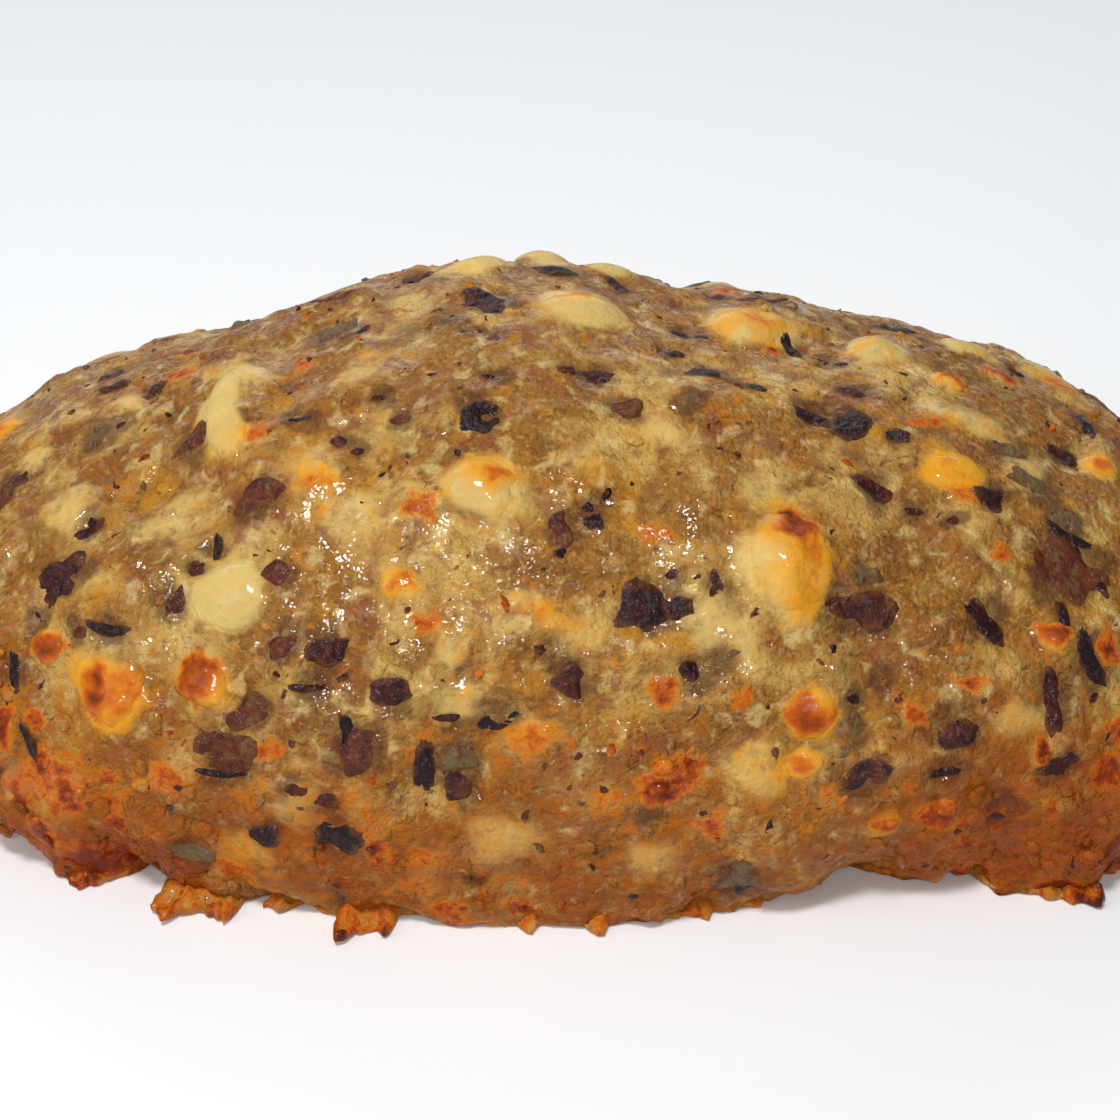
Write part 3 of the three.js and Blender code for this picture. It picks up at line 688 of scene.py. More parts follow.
def frayed(tree, place, fray):
    """The masks that the mesh carries, each with noise added, so that it has a torn edge."""
    tears = {"Scale": 1 / (FRAY["size"] * MM), "Detail": FRAY["detail"], "Roughness": FRAY["roughness"]}
    tears = add(tree, "ShaderNodeTexNoise", {"Vector": place, **tears}).outputs["Fac"]
    tears = add(tree, "ShaderNodeMath", {0: tears, 1: 0.5}, operation="SUBTRACT").outputs[0]
    amount = {}
    for label, spread in FRAYED.items():
        carried = add(tree, "ShaderNodeAttribute", attribute_name=label).outputs["Fac"]
        torn = {0: tears, 1: spread * fray, 2: carried}
        amount[label] = add(tree, "ShaderNodeMath", torn, operation="MULTIPLY_ADD").outputs[0]
    return amount


print("frayed masks:", list(FRAYED))

# %% Colour of the skin
BROWNING_GOLD = 0.55  # how far browning alone turns cheese from pale to golden
TONE = 0.4  # how strongly a crumb's own tone makes it lighter or darker than the skin below it


def shades(node, stops):
    """Sets the stops of a colour ramp and returns its colour."""
    while len(node.color_ramp.elements) < len(stops):
        node.color_ramp.elements.new(1.0)
    for stop, (at, code) in zip(node.color_ramp.elements, stops):
        stop.position, stop.color = at, colour(code)
    return node.outputs["Color"]


def skin_colour(tree, mottle, amount):
    """Tan with the mottles over it, then browning, painted shade in the hollows, mushroom stain, cheese,
    toast and crust.
    """
    toasted = shades(add(tree, "ShaderNodeValToRGB", {"Fac": amount["toast"]}), TOASTED)
    golden = {0: amount["glow"], 1: mottle["glow"]}
    golden = add(tree, "ShaderNodeMath", golden, operation="MAXIMUM").outputs[0]
    golden = {0: amount["browning"], 1: BROWNING_GOLD, 2: golden}
    golden = add(tree, "ShaderNodeMath", golden, operation="MULTIPLY_ADD", use_clamp=True).outputs[0]
    cheese_colour = {0: golden, 6: colour(CHEESE_PALE), 7: colour(CHEESE_YELLOW)}
    cheese_colour = add(tree, "ShaderNodeMix", cheese_colour, data_type="RGBA").outputs[2]
    layers = [(mottle[label], colour(code)) for label, (code, *_) in MOTTLES.items()]
    for label, low, high, strength, paint in (
        ("browning", 0.05, 0.75, 0.85, colour(BROWN)),
        # the hollows of the relief are painted darker: painted shade
        ("hollow", 0.1, 1.1, 0.75, colour(HOLLOW_SHADE)),
        ("stain", 0.25, 1.1, 0.7, colour(STAIN)),
        ("cheese", 0.2, 1.1, 0.8, cheese_colour),
        ("toast", 0.08, 0.5, 0.95, toasted),
        ("browning", 0.45, 1.1, 0.6, colour(CRUST)),
    ):
        fade = {"Value": amount[label], "From Min": low, "From Max": high, "To Max": strength}
        fade = add(tree, "ShaderNodeMapRange", fade, interpolation_type="SMOOTHSTEP").outputs[0]
        layers.append((fade, paint))
    painted = colour(TAN)
    for share, paint in layers:
        painted = add(tree, "ShaderNodeMix", {0: share, 6: painted, 7: paint}, data_type="RGBA").outputs[2]
    tone = add(tree, "ShaderNodeAttribute", attribute_name="tone").outputs["Fac"]
    tone = add(tree, "ShaderNodeMath", {0: tone, 1: TONE, 2: 1.0}, operation="MULTIPLY_ADD").outputs[0]
    return add(tree, "ShaderNodeVectorMath", {0: painted, "Scale": tone}, operation="SCALE").outputs[0]


print("the darkest toast:", [round(level, 3) for level in colour(TOASTED[-1][1])])

# %% Moisture and grain
WET_PATCH = 6  # mm
RELIEF = ((2.4, 0.8), (1.1, 0.7), (0.5, 0.3))  # size and rise of the grain, in mm
FILM = ((4.0, 0.9), (1.8, 0.3), (0.6, 0.11))  # and of the ripples in the fat on top, which are rounder


def moisture(tree, place, amount):
    """The roughness of the skin, and how much fat lies on it: less where it is baked dry."""
    wet = {"Vector": place, "Scale": 1 / (WET_PATCH * MM), "Detail": 3.0}
    wet = add(tree, "ShaderNodeTexNoise", wet).outputs["Fac"]
    rough = {"Value": wet, "From Min": 0.35, "From Max": 0.65, "To Min": 0.4, "To Max": 0.65}
    rough = add(tree, "ShaderNodeMapRange", rough).outputs[0]
    fatty = {"Value": wet, "From Min": 0.42, "From Max": 0.6, "To Min": 0.08, "To Max": 0.58}
    fatty = add(tree, "ShaderNodeMapRange", fatty).outputs[0]
    dried = {0: amount["browning"], 1: amount["toast"]}
    dried = add(tree, "ShaderNodeMath", dried, operation="MAXIMUM").outputs[0]
    dried = {"Value": dried, "From Min": 0.1, "From Max": 0.8, "To Min": 1.0, "To Max": 0.3}
    dried = add(tree, "ShaderNodeMapRange", dried).outputs[0]
    return rough, add(tree, "ShaderNodeMath", {0: fatty, 1: dried}, operation="MULTIPLY").outputs[0]


def grained(tree, place, calm, sizes, detail):
    """A normal bumped by one noise after another; where calm is low the bumps are weaker."""
    surface = {}
    for size, rise in sizes:
        lumps = {"Vector": place, "Scale": 1 / (size * MM), "Detail": detail}
        lumps = add(tree, "ShaderNodeTexNoise", lumps).outputs["Fac"]
        bump = {"Strength": calm, "Height": lumps, "Distance": rise * MM, **surface}
        surface = {"Normal": add(tree, "ShaderNodeBump", bump).outputs["Normal"]}
    return surface["Normal"]


print("grain:", [size for size, rise in RELIEF], "mm; ripples:", [size for size, rise in FILM], "mm")

# %% Baked mince
def baked(name, fray=1.0, translucent=0.2):
    """The skin of the baked loaf, from the masks that a mesh carries, frayed at their edges."""
    material = bpy.data.materials.new(name)
    material.use_nodes = True
    tree = material.node_tree
    shader = tree.nodes["Principled BSDF"]
    place = add(tree, "ShaderNodeTexCoord").outputs["Object"]
    mottle = mottled(tree, place)
    amount = frayed(tree, place, fray)
    tree.links.new(skin_colour(tree, mottle, amount), shader.inputs["Base Color"])
    rough, fatty = moisture(tree, place, amount)
    tree.links.new(rough, shader.inputs["Roughness"])
    tree.links.new(fatty, shader.inputs["Coat Weight"])  # melted fat: the sharp glints
    calm = {"Value": amount["cheese"], "From Max": 0.9, "To Min": 1.0, "To Max": 0.35}
    calm = add(tree, "ShaderNodeMapRange", calm).outputs[0]  # melted cheese is smoother
    tree.links.new(grained(tree, place, calm, RELIEF, 2.0), shader.inputs["Normal"])
    tree.links.new(grained(tree, place, calm, FILM, 0.4), shader.inputs["Coat Normal"])
    shader.inputs["Specular IOR Level"].default_value = 0.1
    shader.inputs["Coat Roughness"].default_value = 0.06
    shader.inputs["Subsurface Weight"].default_value = translucent  # light inside the meat
    shader.inputs["Subsurface Radius"].default_value = (1.0, 0.45, 0.2)
    shader.inputs["Subsurface Scale"].default_value = 1.0 * MM
    return material


baked_mince = baked("baked_mince")
print("baked mince:", len(baked_mince.node_tree.nodes), "nodes")

# %% [markdown]
# The mesh carries the masks that this material reads, and two more that say where crumbs may stand:
# not on cheese, not in a mushroom's stain and not on the table, and hardly any where nothing is
# browned.

# %% Make the core
BARE_FOOT = 2.5  # mm above the table that stay free of crumbs
FEWEST = 0.05  # the share of the crumbs that stand where nothing is browned


def piece(name, points, faces, material, attributes):
    """A smooth mesh object from points in millimetres, with one number a point for each attribute."""
    mesh = bpy.data.meshes.new(name)
    mesh.from_pydata(np.asarray(points) * MM, [], faces)
    for label, values in attributes.items():
        carried = mesh.attributes.new(label, "FLOAT", "POINT").data
        carried.foreach_set("value", np.asarray(values, np.float32))
    mesh.materials.append(material)
    mesh.shade_smooth()
    made = bpy.data.objects.new(name, mesh)
    bpy.context.scene.collection.objects.link(made)
    print(name, len(mesh.polygons), "faces")
    return made


def skin_masks(points, cheesy):
    """The masks that the baked material reads, for points on the skin and the cheese at each."""
    return {
        "cheese": cheesy,
        "toast": toast_mask(points),
        "glow": glow_mask(points),
        "browning": browning_mask(points),
    }


masks = {**skin_masks(core, cheesy), "stain": stain_mask(core), "hollow": hollow}
masks["everywhere"] = (core[:, 2] > BARE_FOOT) * np.clip(1 - cheesy, 0, 1) * (1 - masks["stain"])
masks["crumbs"] = masks["everywhere"] * (FEWEST + (1 - FEWEST) * browning)
loaf = piece("loaf_core", core, core_faces, baked_mince, masks)

# %% [markdown]
# ## Pieces that lie in the skin
#
# A mushroom piece or a lump of cheese follows the skin it is baked into. So each is grown on it: an
# outline of a few straight cuts is filled with rings of points, every point is dropped onto the
# core along the outward direction, and the rings rise in the middle and dive under the skin at the
# rim. A flat bottom inside the loaf closes the piece. All pieces of a kind are one mesh.

# %% Outlines
SEGMENTS = 28
ANGLES = np.linspace(0, 2 * math.pi, SEGMENTS, endpoint=False)
LARGEST = 1.1  # the radius at which a corner between two cuts is blunted


def cut_outline(corners, rounding):
    """The radius at each angle of a shape with that many straight cuts, at most about 1."""
    turns = np.linspace(0, 2 * math.pi, corners, endpoint=False) + dice.uniform(-0.35, 0.35, corners)
    depths = dice.uniform(0.7, 0.98, corners)
    facing = np.maximum(np.cos(ANGLES[:, None] - turns), 0) / depths
    return np.minimum((facing**rounding).sum(axis=1) ** (-1 / rounding), LARGEST)


def strip_outline():
    """The radius at each angle of an oblong with rounded corners, before it is stretched."""
    bend = dice.uniform(2.2, 3.4)
    leaning = ANGLES + dice.uniform(-0.3, 0.3)
    skewed = np.abs(np.cos(ANGLES)) ** bend + np.abs(np.sin(leaning)) ** bend
    return skewed ** (-1 / bend) * 0.92


print("an outline has", SEGMENTS, "straight edges")

# %% Grow a piece on the skin
RINGS = np.array((0.0, 0.3, 0.55, 0.75, 0.9, 1.0))  # shares of the way from the middle to the rim
NICK_CIRCLE = 9  # mm; an edge is nicked by the noise round a circle of this radius
NICKS = ((4, 0.14), (2, 0.08))  # size in mm, and the share of the radius
DROP = {"from": 15, "reach": 22}  # mm outside the skin where a point starts to fall, and how far
UNEVEN_SIZE = 2.4  # mm between the bumps on a piece
TABLE_CLEAR = 0.05  # mm that a piece stays above the table
core_skin = BVHTree.FromPolygons(core.tolist(), squares.tolist())


def shell_faces():
    """The faces of one piece: round the middle, from ring to ring, down the side and underneath."""
    faces = [(0, 1 + k, 1 + (k + 1) % SEGMENTS) for k in range(SEGMENTS)]
    for level in range(len(RINGS) - 1):
        first = 1 + level * SEGMENTS
        for k in range(SEGMENTS):
            m = (k + 1) % SEGMENTS
            faces.append((first + k, first + SEGMENTS + k, first + SEGMENTS + m, first + m))
    last = 1 + len(RINGS) * SEGMENTS
    faces += [(last, last - SEGMENTS + (k + 1) % SEGMENTS, last - SEGMENTS + k) for k in range(SEGMENTS)]
    return faces


def grow(x, roll, long, wide, turn, curl, edge, height, depth, uneven):
    """One piece: points, faces, and for each point the share of the way to the rim and to the side."""
    place, along, uphill, out = stand(x, roll)
    c, s = math.cos(math.radians(turn)), math.sin(math.radians(turn))
    axis, side = c * along + s * uphill, c * uphill - s * along
    circle = [NICK_CIRCLE * np.cos(ANGLES), NICK_CIRCLE * np.sin(ANGLES), ANGLES * 0 + x]
    circle = np.stack(circle, axis=1)
    edge = edge * sum((rise * noise(circle, size) for size, rise in NICKS), 1)
    ring = np.concatenate([[0], np.repeat(RINGS[1:], SEGMENTS)])
    turned = np.concatenate([[0], np.tile(ANGLES, len(RINGS) - 1)])
    radius = ring * np.concatenate([[1], np.tile(edge, len(RINGS) - 1)])
    u, v = radius * np.cos(turned), radius * np.sin(turned)
    bent = v * wide / 2 + curl * long / 4 * (u * u - 0.3)
    flat = place + (u * long / 2)[:, None] * axis + bent[:, None] * side
    top = []
    for start in flat:
        hit = core_skin.ray_cast(Vector(start + DROP["from"] * out), Vector(-out), DROP["reach"])[0]
        top.append(np.array(hit) if hit else start)
    top = np.array(top)
    top += (height(ring) + uneven * noise(top, UNEVEN_SIZE))[:, None] * out
    bottom = top[-SEGMENTS:] - depth * out
    points = np.vstack([top, bottom, bottom.mean(axis=0)])
    points[:, 2] = np.maximum(points[:, 2], TABLE_CLEAR)
    rim = np.concatenate([ring, np.ones(SEGMENTS + 1)])
    sides = np.concatenate([ring * np.sin(turned), np.sin(ANGLES), [0]])
    return points, shell_faces(), np.stack([rim, sides], axis=1)


def joined(parts):
    """Points, faces and values of several parts as those of one mesh."""
    points, faces, values, count = [], [], [], 0
    for part_points, part_faces, part_values in parts:
        points.append(part_points)
        faces += [tuple(i + count for i in face) for face in part_faces]
        values.append(part_values)
        count += len(part_points)
    return np.concatenate(points), faces, np.concatenate(values)


print(len(shell_faces()), "faces in each piece")

# %% [markdown]
# ## Cheese lumps
#
# The dice that stand proud of the skin are pieces of their own, capped over the domes of the core.
# Each cap is a little wider than its dome, lies just above it and dives under the mince at its rim.
# It carries the same masks, so the rim hardly shows.

# %% Cheese lumps
CAP = {"wider": 1.3, "rise": 0.3, "over": 0.25, "dive": 1.0, "depth": 1.5, "uneven": 0.06}
# wider and rise are shares of the dome's own sizes, and the others are in mm
MELTED = {"corners": 7, "rounding": 5}  # a dice loses its corners as it melts

parts = []
for x, roll, along, uphill, rise in cheese:
    if rise >= PROUD:
        edge = cut_outline(**MELTED)
        cap = lambda ring: CAP["over"] + CAP["rise"] * rise * (1 - ring**2) ** 1.5 - CAP["dive"] * ring**10
        size = (CAP["wider"] * along, CAP["wider"] * uphill)
        parts.append(grow(x, roll, *size, 0, 0, edge, cap, CAP["depth"], CAP["uneven"]))
points, faces, _ = joined(parts)
melted_cheese = baked("melted_cheese", fray=0.5, translucent=0.35)
masks = skin_masks(points, cheese_mask(points))
cheese_lumps = piece("cheese_lumps", points, faces, melted_cheese, masks)

# %% [markdown]
# ## Mushroom pieces
#
# Chopped brown mushroom: the skin of the cap bakes to a purple black, the flesh to a translucent
# brown, and gills to a grey green. The cap's skin shows as a dark edge along one side of a slice.
# Cooked mushroom holds water, so it is the shiniest thing in the loaf.

# %% Mushroom material
MUSHROOM_SCALE = ((BLACK, "200a0c"), (DARK, "3e140e"), (FLESH, "622a12"), (GREY, "6b5734"))
SOAKED_RIM = "663c18"  # the rim has soaked up the juice of the mince

cooked_mushroom = bpy.data.materials.new("cooked_mushroom")
cooked_mushroom.use_nodes = True
tree = cooked_mushroom.node_tree
shader = tree.nodes["Principled BSDF"]
place = add(tree, "ShaderNodeTexCoord").outputs["Object"]
kind = add(tree, "ShaderNodeAttribute", attribute_name="kind").outputs["Fac"]
rim = add(tree, "ShaderNodeAttribute", attribute_name="rim").outputs["Fac"]
flecks = {"Vector": place, "Scale": 1 / (2.0 * MM), "Detail": 5.0, "Distortion": 0.6}
flecks = add(tree, "ShaderNodeTexNoise", flecks).outputs["Fac"]
shifted = add(tree, "ShaderNodeMath", {0: flecks, 1: 0.5}, operation="SUBTRACT").outputs[0]
shifted = add(tree, "ShaderNodeMath", {0: shifted, 1: 1.4, 2: kind}, operation="MULTIPLY_ADD").outputs[0]
soaked = add(tree, "ShaderNodeMath", {0: flecks, 1: 0.9, 2: rim}, operation="MULTIPLY_ADD").outputs[0]
soaked = {"Value": soaked, "From Min": 1.05, "From Max": 1.5, "To Max": 0.8}
soaked = add(tree, "ShaderNodeMapRange", soaked, interpolation_type="SMOOTHSTEP").outputs[0]
painted = shades(add(tree, "ShaderNodeValToRGB", {"Fac": shifted}), MUSHROOM_SCALE)
painted = {0: soaked, 6: painted, 7: colour(SOAKED_RIM)}
painted = add(tree, "ShaderNodeMix", painted, data_type="RGBA").outputs[2]
tree.links.new(painted, shader.inputs["Base Color"])
wrinkles = {"Vector": place, "Scale": 1 / (1.1 * MM), "Detail": 3.0}
wrinkles = add(tree, "ShaderNodeTexNoise", wrinkles).outputs["Fac"]
wrinkles = add(tree, "ShaderNodeBump", {"Height": wrinkles, "Distance": 0.9 * MM}).outputs["Normal"]
tree.links.new(wrinkles, shader.inputs["Normal"])
tree.links.new(wrinkles, shader.inputs["Coat Normal"])
shader.inputs["Roughness"].default_value = 0.5
shader.inputs["Specular IOR Level"].default_value = 0.1
shader.inputs["Coat Weight"].default_value = 0.35  # its own water: a sharp glint
shader.inputs["Coat Roughness"].default_value = 0.04
shader.inputs["Subsurface Weight"].default_value = 0.1  # a little light goes into the flesh
shader.inputs["Subsurface Radius"].default_value = (1.0, 0.4, 0.2)
shader.inputs["Subsurface Scale"].default_value = 0.6 * MM
print("cooked mushroom:", len(tree.nodes), "nodes")

# %% Mushroom pieces
CHIP = {"grown": 1.18, "thick": 0.05, "least": 0.05, "dive": 0.3, "depth": 0.9, "uneven": 0.55}
# grown and thick are shares of the piece's own size, and the others are in mm
STRIP = 0.42  # a piece narrower than this share of its length is a strip, with rounded ends
CRISP = 24  # how sharp the corners between two knife cuts stay

parts = []
for x, roll, long, wide, turn, kind, curl in mushroom:
    proud = CHIP["least"] + CHIP["thick"] * math.sqrt(long * wide)
    plate = lambda ring: proud * (1 - ring**3) - CHIP["dive"] * ring**6
    if wide < STRIP * long:
        edge = strip_outline()
    else:
        edge = cut_outline(int(dice.integers(3, 7)), CRISP)
    size = (CHIP["grown"] * long, CHIP["grown"] * wide)
    points, faces, shares = grow(x, roll, *size, turn, curl, edge, plate, CHIP["depth"], CHIP["uneven"])
    skinned = 0.45 * between(shares[:, 1], 0.55, 0.85) * (kind > 0.5)  # dark skin along one side
    shares[:, 1] = kind - skinned + dice.normal(0, 0.06)
    parts.append((points, faces, shares))
points, faces, shares = joined(parts)
masks = {"rim": shares[:, 0], "kind": shares[:, 1]}
mushroom_pieces = piece("mushroom_pieces", points, faces, cooked_mushroom, masks)

# %% [markdown]
# ## The browned skirt
#
# Where cheese and juice ran out onto the tray they spread into a thin ragged skirt and fried crisp,
# golden near the loaf and nearly black at the tips. It is one closed sheet that runs round the foot
# from inside the loaf to its own edge. Its ways out are taken from a calmer ring than the ragged
# foot itself, so that they don't cross.

# %% The ways out
CALM = {"ring": 16, "direction": 48}  # steps along the foot, about 0.35 mm each, to either side

rim = core[foot][::-1]
rim = np.stack([rim, (rim + np.roll(rim, -1, axis=0)) / 2], axis=1).reshape(-1, 3)
steps = range(-CALM["ring"], CALM["ring"] + 1)
ring = np.mean([np.roll(rim, step, axis=0) for step in steps], axis=0)
tangent = np.roll(ring, -CALM["direction"], axis=0) - np.roll(ring, CALM["direction"], axis=0)
tangent /= np.linalg.norm(tangent, axis=1)[:, None]
out = np.stack([tangent[:, 1], -tangent[:, 0], 0 * tangent[:, 0]], axis=1)
print(len(ring), "ways out round the foot")

# %% [markdown]
# How far the skirt reaches is a small noise that follows the bays of the foot, plus torn tongues
# whose tips lean to one side. The longest curl up a little, as thin crisp edges do.

# %% How far it reaches
FRONT_TONGUES = (  # x, how far it reaches out, half its width, how dark, and how far its tip leans over
    (-70, 2.4, 6, 0.8, 0), (-51.5, 4.2, 6.5, 0.35, 0), (-54.5, 8, 3.8, 0.5, -3), (-48, 5.5, 2.6, 0.4, 1),
    (-38.4, 4.8, 3, 0.35, -2.4), (-27.2, 4.4, 5.4, 0.55, 0), (-29, 6.6, 3, 0.7, -1),
    (-24.4, 6, 2.8, 0.65, 1), (-14, 2, 3, 0.4, -1), (-4, 2.2, 6, 0.4, 0), (6, 2.8, 4, 0.4, 1),
    (15, 1.4, 3, 0.4, 0), (22, 1.4, 3, 0.4, 0), (29.5, 1.8, 3, 0.5, 1), (79, 3, 5, 0.8, 0),
    (86, 2.8, 5, 0.75, 1),
)
BACK_TONGUES = (
    (-74, 4, 6, 0.6, 1), (-47, 6, 5, 0.65, -2), (-14, 4, 4, 0.5, 1), (19, 6, 5, 0.7, 2),
    (58, 4, 6, 0.8, -1),
)
RAGGED = 1.1  # mm
BAY = range(-6, 7)  # steps along the foot over which a bay is followed
TORN = ((2.4, 1.6), (1.2, 1.3), (0.8, 0.9))  # size and reach of the tears, in mm
BESIDE = 30  # mm from the long axis, beyond which the foot is the front's or the back's

reach = RAGGED * (0.6 + noise(ring, 3.1) + 0.6 * noise(ring, 1.3))
bay = ((rim - ring) * out).sum(axis=1)
bay = np.min([np.roll(bay, step) for step in BAY], axis=0)
reach += np.minimum(np.mean([np.roll(bay, step) for step in BAY], axis=0), 0)
dark = 0.25 + 0.2 * noise(ring, 9)
tongue, leaning = 0 * dark, 0 * dark
wavering = ring[:, 0] + 0.8 * noise(ring, 2.2)
tears = sum(rise * noise(ring, size) for size, rise in TORN)
for side, tongues in ((-1, FRONT_TONGUES), (1, BACK_TONGUES)):
    for x, long, half, depth, lean in tongues:
        share = np.clip(1 - np.abs(wavering - x) / half, 0, 1) * (side * ring[:, 1] > BESIDE)
        share = between(share, 0, 0.85)
        reach = np.maximum(reach, long * share + share * tears)
        dark = np.maximum(dark, depth * share)
        tongue = np.maximum(tongue, share)
        leaning += lean * share * np.sign(tangent[:, 0])
print("the skirt reaches out by up to", reach.max().round(1), "mm")

# %% Browned skirt
WAYS_OUT = np.linspace(0, 1, 12)[:, None]  # from the root inside the loaf to the edge
SKIRT = {"root": 7, "least": -5, "high": 6, "edge": 0.8, "thick": 0.7}  # mm
BOW = 1.5  # a power: how hollow the skirt's slope is
CURL = {"from": 4, "share": 0.2}  # of what a tongue reaches beyond 4 mm, a fifth turns up
ROUGH = (1.6, 0.9)  # mm between the bumps on it
UNDERSIDE = 0.1  # mm above the table
THINNEST = 0.2  # mm from the underside to the top

outwards = -SKIRT["root"] + WAYS_OUT * (SKIRT["root"] + np.maximum(reach, SKIRT["least"]))
base = ring + outwards[:, :, None] * out
base += (leaning * np.clip(2 * WAYS_OUT - 1, 0, 1) ** 1.5)[:, :, None] * tangent
high = SKIRT["edge"] + SKIRT["high"] * (1 - WAYS_OUT) ** BOW + 0 * outwards
high += SKIRT["thick"] * tongue * (1 - WAYS_OUT**6)
rough = sum(noise(base.reshape(-1, 3), size) for size in ROUGH).reshape(outwards.shape)
curl = CURL["share"] * np.maximum(reach - CURL["from"], 0) * WAYS_OUT**6
high += (0.5 + 0.7 * tongue) * rough * WAYS_OUT + curl
top = base + np.maximum(high, UNDERSIDE + THINNEST + curl)[:, :, None] * (0, 0, 1)
bottom = base + (UNDERSIDE + curl)[:, :, None] * (0, 0, 1)
points = np.vstack([top.reshape(-1, 3), bottom.reshape(-1, 3)])
index = np.arange(top.shape[0] * top.shape[1]).reshape(outwards.shape)
index = np.vstack([index, index[::-1] + index.size])  # out over the top, and back in underneath
index = np.vstack([index, index[:1]])
turned = np.roll(index, -1, axis=1)
faces = np.stack([index[:-1], index[1:], turned[1:], turned[:-1]], axis=-1).reshape(-1, 4)
darkness = dark * (0.5 + 0.5 * WAYS_OUT**3) + 0.15 * rough
darkness = np.tile(np.clip(darkness, 0, 1).ravel(), 2)
masks = {"toast": darkness, "browning": 0 * darkness + 0.5, "cheese": 0 * darkness + 0.4}
browned_skirt = piece("browned_skirt", points, faces.tolist(), baked("browned_crust"), masks)

# %% [markdown]
# ## Crumbs, flecks and specks
#
# Three things are too many to place: crumbs of mince that stand up from the skin, most where it is
# browned, flecks of chopped mushroom, and browned specks. Geometry Nodes strew them over the core
# by a mask, turn each to the skin, and join them into one mesh. Crumbs inherit the masks of the skin
# they stand on, so they take its colours, each a little lighter or darker.

# %% Strew over the skin
TILT = 0.5  # radians that a lump may lean to either side
STRETCH = (0.7, 1.3)  # each of its three sizes is multiplied by a share between these
BROKEN = {"size": 0.8, "push": 1.2}  # mm of the noise that makes a ball look broken off


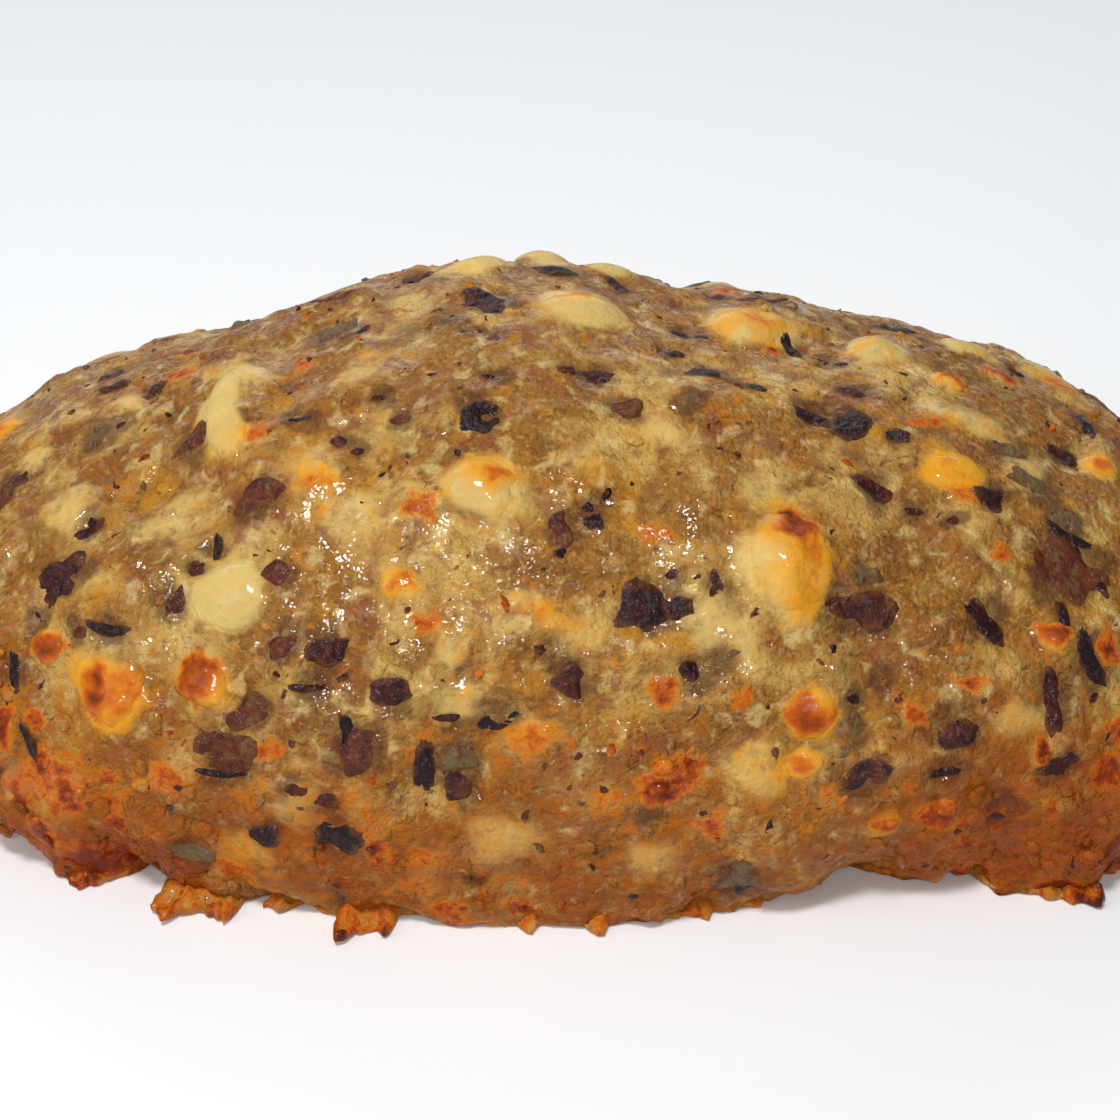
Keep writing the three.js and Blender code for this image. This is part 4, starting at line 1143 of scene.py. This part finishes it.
def lump_tree(name, mask, sunk, label, values, material, seed):
    """Nodes that strew lumps over a skin by a mask, sink them a little, and give each a value."""
    tree = bpy.data.node_groups.new(name, "GeometryNodeTree")
    tree.interface.new_socket("Skin", in_out="INPUT", socket_type="NodeSocketGeometry")
    for socket in ("Density", "Variation"):
        tree.interface.new_socket(socket, in_out="INPUT", socket_type="NodeSocketFloat")
    tree.interface.new_socket("Lump Size", in_out="INPUT", socket_type="NodeSocketVector")
    tree.interface.new_socket("Lumps", in_out="OUTPUT", socket_type="NodeSocketGeometry")
    given = add(tree, "NodeGroupInput").outputs
    share = add(tree, "GeometryNodeInputNamedAttribute", {"Name": mask}, data_type="FLOAT")
    share = share.outputs["Attribute"]
    density = add(tree, "ShaderNodeMath", {0: share, 1: given["Density"]}, operation="MULTIPLY").outputs[0]
    spots = {"Mesh": given["Skin"], "Density": density, "Seed": seed}
    spots = add(tree, "GeometryNodeDistributePointsOnFaces", spots)
    ball = add(tree, "GeometryNodeMeshIcoSphere", {"Radius": 0.5, "Subdivisions": 2}).outputs["Mesh"]
    spin = {"Min": (-TILT, -TILT, 0), "Max": (TILT, TILT, 2 * math.pi), "Seed": seed + 1}
    spin = add(tree, "FunctionNodeRandomValue", spin, data_type="FLOAT_VECTOR").outputs[0]
    spin = add(tree, "FunctionNodeEulerToRotation", {"Euler": spin}).outputs[0]
    turn = {"Rotation": spots.outputs["Rotation"], "Rotate By": spin}
    turn = add(tree, "FunctionNodeRotateRotation", turn, rotation_space="LOCAL").outputs[0]
    low = add(tree, "ShaderNodeMath", {0: 1.0, 1: given["Variation"]}, operation="SUBTRACT").outputs[0]
    high = add(tree, "ShaderNodeMath", {0: 1.0, 1: given["Variation"]}, operation="ADD").outputs[0]
    scale = {2: low, 3: high, "Seed": seed + 2}
    scale = add(tree, "FunctionNodeRandomValue", scale, data_type="FLOAT").outputs[1]
    stretch = {"Min": 3 * (STRETCH[0],), "Max": 3 * (STRETCH[1],), "Seed": seed + 3}
    stretch = add(tree, "FunctionNodeRandomValue", stretch, data_type="FLOAT_VECTOR").outputs[0]
    stretch = {0: stretch, 1: given["Lump Size"]}
    stretch = add(tree, "ShaderNodeVectorMath", stretch, operation="MULTIPLY").outputs[0]
    stretch = {0: stretch, "Scale": scale}
    stretch = add(tree, "ShaderNodeVectorMath", stretch, operation="SCALE").outputs[0]
    inwards = {0: spots.outputs["Normal"], "Scale": -sunk * MM}
    inwards = add(tree, "ShaderNodeVectorMath", inwards, operation="SCALE").outputs[0]
    spots = {"Geometry": spots.outputs["Points"], "Offset": inwards}
    spots = add(tree, "GeometryNodeSetPosition", spots).outputs[0]
    lumps = {"Points": spots, "Instance": ball, "Rotation": turn, "Scale": stretch}
    lumps = add(tree, "GeometryNodeInstanceOnPoints", lumps).outputs[0]
    drawn = {2: values[0], 3: values[1], "Seed": seed + 4}
    drawn = add(tree, "FunctionNodeRandomValue", drawn, data_type="FLOAT").outputs[1]
    lumps = {"Geometry": lumps, "Name": label, "Value": drawn}
    lumps = add(tree, "GeometryNodeStoreNamedAttribute", lumps, data_type="FLOAT", domain="INSTANCE")
    lumps = add(tree, "GeometryNodeRealizeInstances", {"Geometry": lumps.outputs[0]}).outputs[0]
    broken = {"Scale": 1 / (BROKEN["size"] * MM), "Detail": 1.0}
    broken = {0: add(tree, "ShaderNodeTexNoise", broken).outputs["Color"], 1: (0.5, 0.5, 0.5)}
    broken = add(tree, "ShaderNodeVectorMath", broken, operation="SUBTRACT").outputs[0]
    broken = {0: broken, "Scale": BROKEN["push"] * MM}
    broken = add(tree, "ShaderNodeVectorMath", broken, operation="SCALE").outputs[0]
    lumps = add(tree, "GeometryNodeSetPosition", {"Geometry": lumps, "Offset": broken}).outputs[0]
    lumps = add(tree, "GeometryNodeSetShadeSmooth", {"Geometry": lumps}).outputs[0]
    lumps = add(tree, "GeometryNodeSetMaterial", {"Geometry": lumps, "Material": material}).outputs[0]
    add(tree, "NodeGroupOutput", {"Lumps": lumps})
    return tree


print("a lump leans by up to", round(math.degrees(TILT)), "degrees")

# %% Crumbs, flecks and specks
def strew(name, mask, per_square_metre, size, spread, *rest):
    """One mesh of small lumps on the core. Their size is in mm, and varies by the spread."""
    source = bpy.data.objects.new(name + "_source", loaf.data)
    bpy.context.scene.collection.objects.link(source)
    modifier = source.modifiers.new(name, "NODES")
    modifier.node_group = lump_tree(name, mask, *rest)
    wanted = {"Density": per_square_metre, "Variation": spread, "Lump Size": Vector(size) * MM}
    for socket in modifier.node_group.interface.items_tree:
        if socket.name in wanted:
            modifier[socket.identifier] = wanted[socket.name]
    evaluated = source.evaluated_get(bpy.context.evaluated_depsgraph_get())
    mesh = bpy.data.meshes.new_from_object(evaluated)
    bpy.data.objects.remove(source)
    made = bpy.data.objects.new(name, mesh)
    bpy.context.scene.collection.objects.link(made)
    print(name, len(mesh.polygons), "faces")
    return made


KINDS = (  # name, mask, how many a square metre, size in mm, variation, mm sunk, attribute, its values
    ("mince_crumbs", "crumbs", 110000, (2.4, 1.9, 1.0), 0.5, 0.28, "tone", (-0.4, 0.3)),
    ("mushroom_flecks", "everywhere", 24000, (1.5, 0.7, 0.5), 0.8, 0.3, "kind", (0.15, 0.95)),
    ("browned_specks", "everywhere", 4000, (1.5, 1.1, 0.7), 0.7, 0.4, "toast", (0.4, 0.75)),
)
FINISHES = (baked_mince, cooked_mushroom, baked_mince)
SEEDS = (1, 9, 17)
crumbs, flecks, specks = (strew(*kind, *rest) for kind, *rest in zip(KINDS, FINISHES, SEEDS))

# %% [markdown]
# ## Attach the pieces
#
# Every piece rides on the one body, and the imported solid is hidden.

# %% Attach the pieces
pieces = (
    (loaf, "baked_mince"),
    (cheese_lumps, "melted_cheese"),
    (mushroom_pieces, "mushroom"),
    (browned_skirt, "browned_crust"),
    (crumbs, "baked_mince"),
    (flecks, "mushroom"),
    (specks, "baked_mince"),
)
for made, slot in pieces:
    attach(made, "root")
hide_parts("meatloaf")
